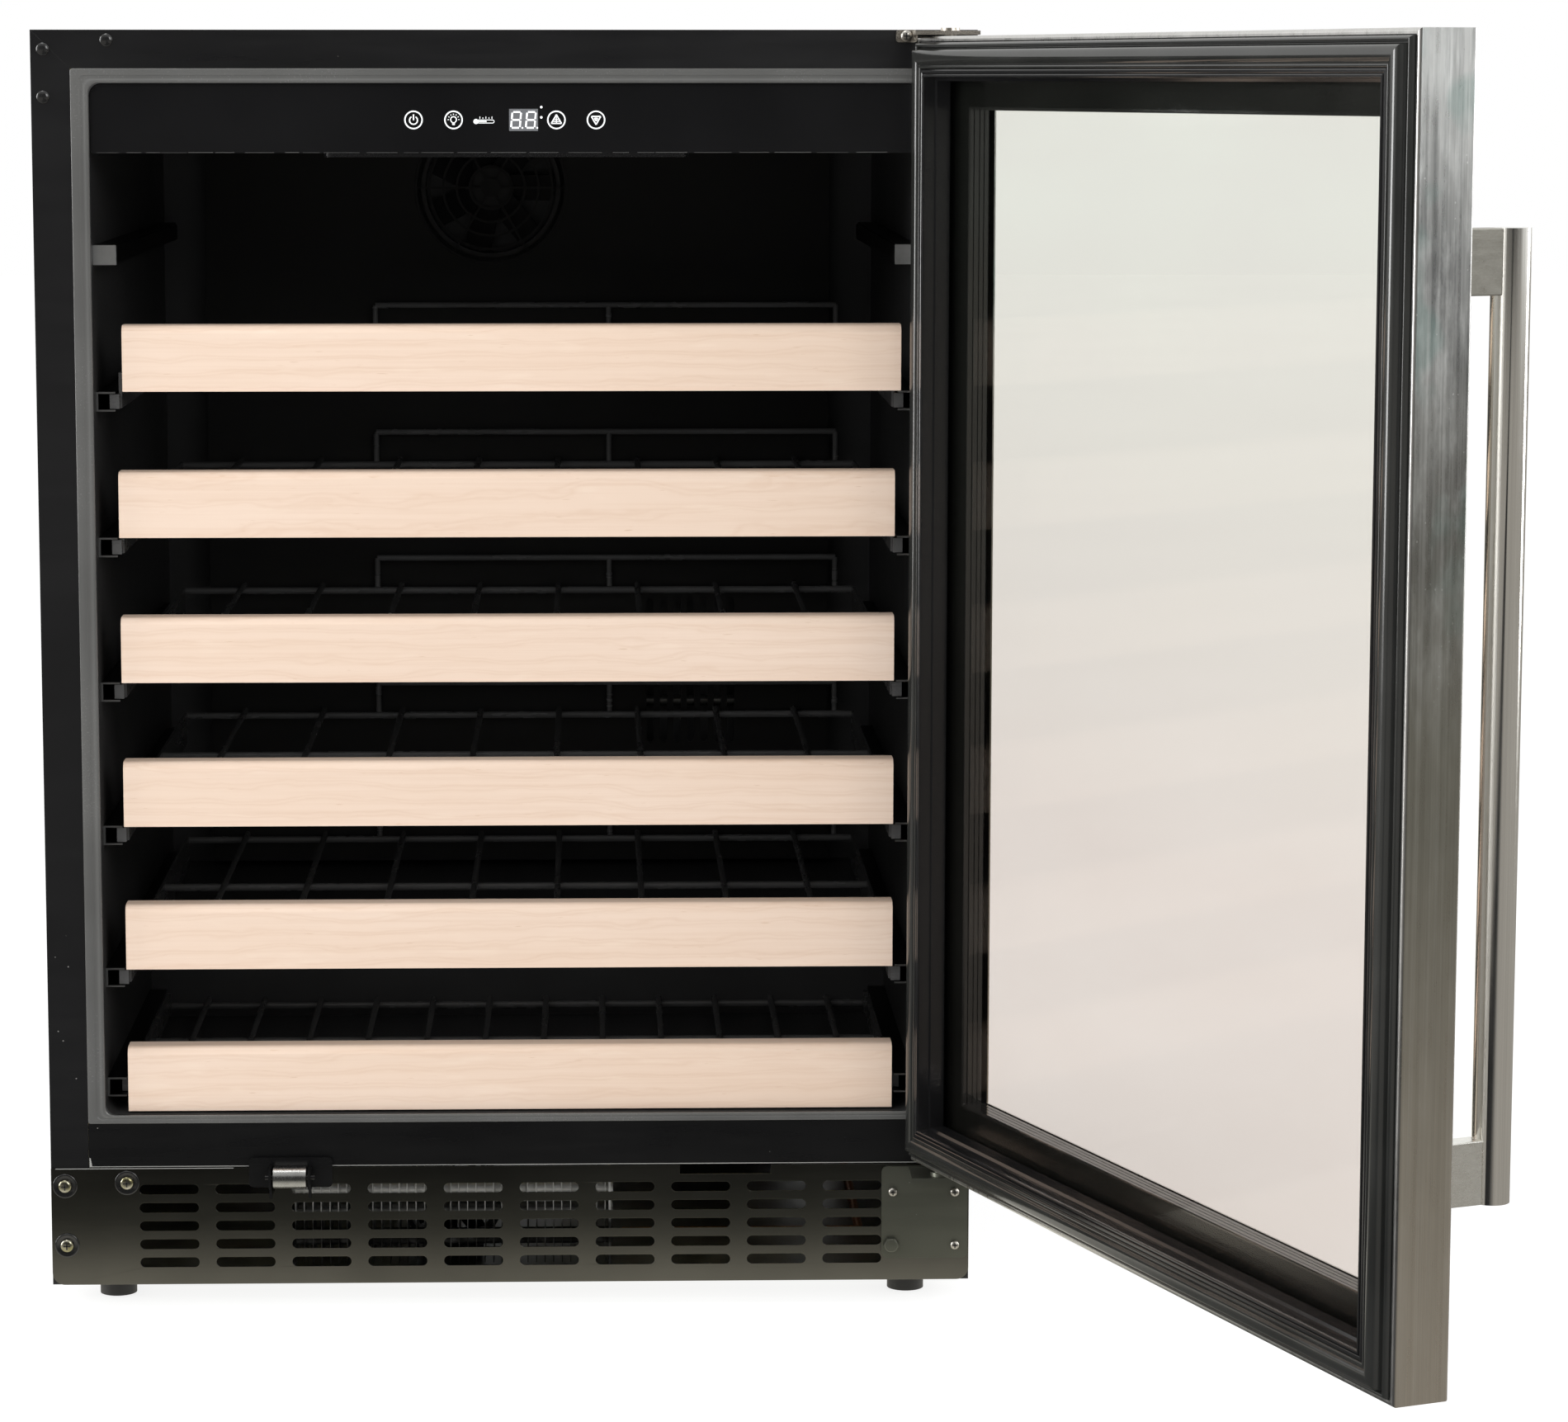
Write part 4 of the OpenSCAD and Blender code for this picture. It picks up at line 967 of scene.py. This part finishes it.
def floor_material():
    """Pale paper floor. Reflections see it fade into the dark studio in front of the cabinet."""
    m = Mat("floor_paper")
    t = m.t
    n = m.noise(m.co(), 2.0, 2.0)
    tone = m.mix(m.map(n, 0.3, 0.7, 0, 1), (0.27, 0.27, 0.27), (0.29, 0.29, 0.29))
    diff = t.nodes.new("ShaderNodeBsdfDiffuse")
    m.put(diff.inputs[0], tone)
    emit = t.nodes.new("ShaderNodeEmission")
    emit.inputs[0].default_value = (1, 1, 1, 1)
    emit.inputs[1].default_value = 0.80
    seen = t.nodes.new("ShaderNodeAddShader")
    m.link(diff.outputs[0], seen.inputs[0])
    m.link(emit.outputs[0], seen.inputs[1])
    ahead = m.math("MULTIPLY_ADD", m.axis("Y"), -1.0)
    ahead.node.inputs[2].default_value = FY
    falloff = m.ramp(m.map(ahead, 0.0, 1.0, 0.0, 1.0),
                     [(0.0, (1.0, 0.97, 0.86)), (0.08, (0.74, 0.71, 0.63)), (0.20, (0.17, 0.17, 0.15)),
                      (0.36, (0.045, 0.045, 0.043)), (0.5, (0.02, 0.02, 0.02))])
    side = m.map(m.math("ABSOLUTE", m.axis("X")), 0.32, 0.75, 0.0, 1.0)
    mirror_tone = m.mix(side, falloff, (0.30, 0.285, 0.26))
    mirror = t.nodes.new("ShaderNodeEmission")
    m.link(mirror_tone, mirror.inputs[0])
    mirror.inputs[1].default_value = 1.0
    path = t.nodes.new("ShaderNodeLightPath")
    mx = t.nodes.new("ShaderNodeMixShader")
    m.link(path.outputs["Is Glossy Ray"], mx.inputs[0])
    m.link(seen.outputs[0], mx.inputs[1])
    m.link(mirror.outputs[0], mx.inputs[2])
    m.link(mx.outputs[0], m.out.inputs[0])
    t.nodes.remove(m.b)
    return m.m


floor_mesh = bpy.data.meshes.new("floor")
fz = CAD_BOX[0][2] - 0.0005
floor_mesh.from_pydata([(-15, -15, fz), (15, -15, fz), (15, 15, fz), (-15, 15, fz)], [], [(0, 1, 2, 3)])
floor = bpy.data.objects.new("floor", floor_mesh)
scene.collection.objects.link(floor)
floor.data.materials.append(floor_material())

# Studio: white walls at the sides and behind, dark towards the camera, soft ceiling.
world = bpy.data.worlds.new("studio")
scene.world = world
world.use_nodes = True
wt = world.node_tree
bg = wt.nodes["Background"]


def wmath(op, a, b=0.0):
    n = wt.nodes.new("ShaderNodeMath")
    n.operation = op
    for i, v in enumerate((a, b)):
        if isinstance(v, (int, float)):
            n.inputs[i].default_value = v
        else:
            wt.links.new(v, n.inputs[i])
    return n.outputs[0]


def wramp(fac, stops):
    n = wt.nodes.new("ShaderNodeValToRGB")
    e = n.color_ramp.elements
    while len(e) < len(stops):
        e.new(0.5)
    for i, (p_, c) in enumerate(stops):
        e[i].position = p_
        e[i].color = (c, c, c * 0.985, 1) if isinstance(c, (int, float)) else tuple(c) + (1,)
    wt.links.new(fac, n.inputs[0])
    return n.outputs[0]


tcw = wt.nodes.new("ShaderNodeTexCoord")
sep = wt.nodes.new("ShaderNodeSeparateXYZ")
wt.links.new(tcw.outputs["Generated"], sep.inputs[0])
dx, dy, dz = sep.outputs
flat = wmath("SQRT", wmath("ADD", wmath("MULTIPLY", dx, dx), wmath("MULTIPLY", dy, dy)))
front = wmath("DIVIDE", wmath("MULTIPLY", dy, -1.0), wmath("MAXIMUM", flat, 0.001))
turn = wmath("ADD", wmath("MULTIPLY", front, 0.5), 0.5)
around = wramp(turn, [(0.0, 0.95), (0.50, 0.92), (0.75, 0.75), (0.82, 0.42), (0.885, 0.12), (0.955, 0.03),
                      (1.0, 0.022)])
above = wramp(dz, [(0.0, 0.0), (0.35, 0.0), (0.62, 0.55), (1.0, 0.80)])
both = wt.nodes.new("ShaderNodeMix")
both.data_type = "RGBA"
both.blend_type = "LIGHTEN"
both.inputs[0].default_value = 1.0
wt.links.new(around, both.inputs[6])
wt.links.new(above, both.inputs[7])
path = wt.nodes.new("ShaderNodeLightPath")
pick = wt.nodes.new("ShaderNodeMix")
pick.data_type = "RGBA"
wt.links.new(path.outputs["Is Camera Ray"], pick.inputs[0])
wt.links.new(both.outputs[2], pick.inputs[6])
pick.inputs[7].default_value = (1.0, 1.0, 1.0, 1)
wt.links.new(pick.outputs[2], bg.inputs["Color"])
bg.inputs["Strength"].default_value = 1.0


def area(name, loc, target, size, power, color=(1, 1, 1), size_y=None, glossy=False):
    l = bpy.data.lights.new(name, "AREA")
    l.energy = power
    l.color = color
    l.shape = "RECTANGLE"
    l.size = size
    l.size_y = size_y or size
    o = bpy.data.objects.new(name, l)
    o.location = loc
    o.rotation_euler = (Vector(target) - Vector(loc)).to_track_quat("-Z", "Y").to_euler()
    o.visible_glossy = glossy
    scene.collection.objects.link(o)
    return o


# Soft boxes. The edge lights and the right fill also show in reflections.
CABINET = (0, -0.2, 0.42)
area("edge_left", (-3.4, -0.5, 1.35), (0, -0.3, 0.6), 1.1, 78, size_y=2.6, glossy=True)
area("edge_right", (3.4, 0.2, 1.35), (0.3, -0.3, 0.6), 1.0, 40, size_y=2.6, glossy=True)
area("edge_top", (-0.6, -0.2, 3.4), (0, -0.3, 0.5), 1.6, 20, size_y=1.0, glossy=True)
area("key_left", (-1.9, -3.3, 2.3), CABINET, 1.8, 48)
area("fill_right", (2.1, -3.2, 2.0), CABINET, 1.8, 40, glossy=True)
area("front_low", (0.0, -4.2, 1.0), CABINET, 2.4, 23)

# Camera fitted to the photo: a long lens near the height of the top, looking slightly down and right.
cam_data = bpy.data.cameras.new("camera")
cam_data.sensor_width = 36
cam_data.lens = 103.25
cam_data.shift_x = 0.0526
cam_data.shift_y = -0.0376
cam_data.clip_end = 100
cam = bpy.data.objects.new("camera", cam_data)
cam.location = (0.05307, -3.11724, 0.79319)
cam.rotation_euler = (math.pi / 2 - 0.1274, 0.0, -0.0247)
scene.collection.objects.link(cam)
scene.camera = cam
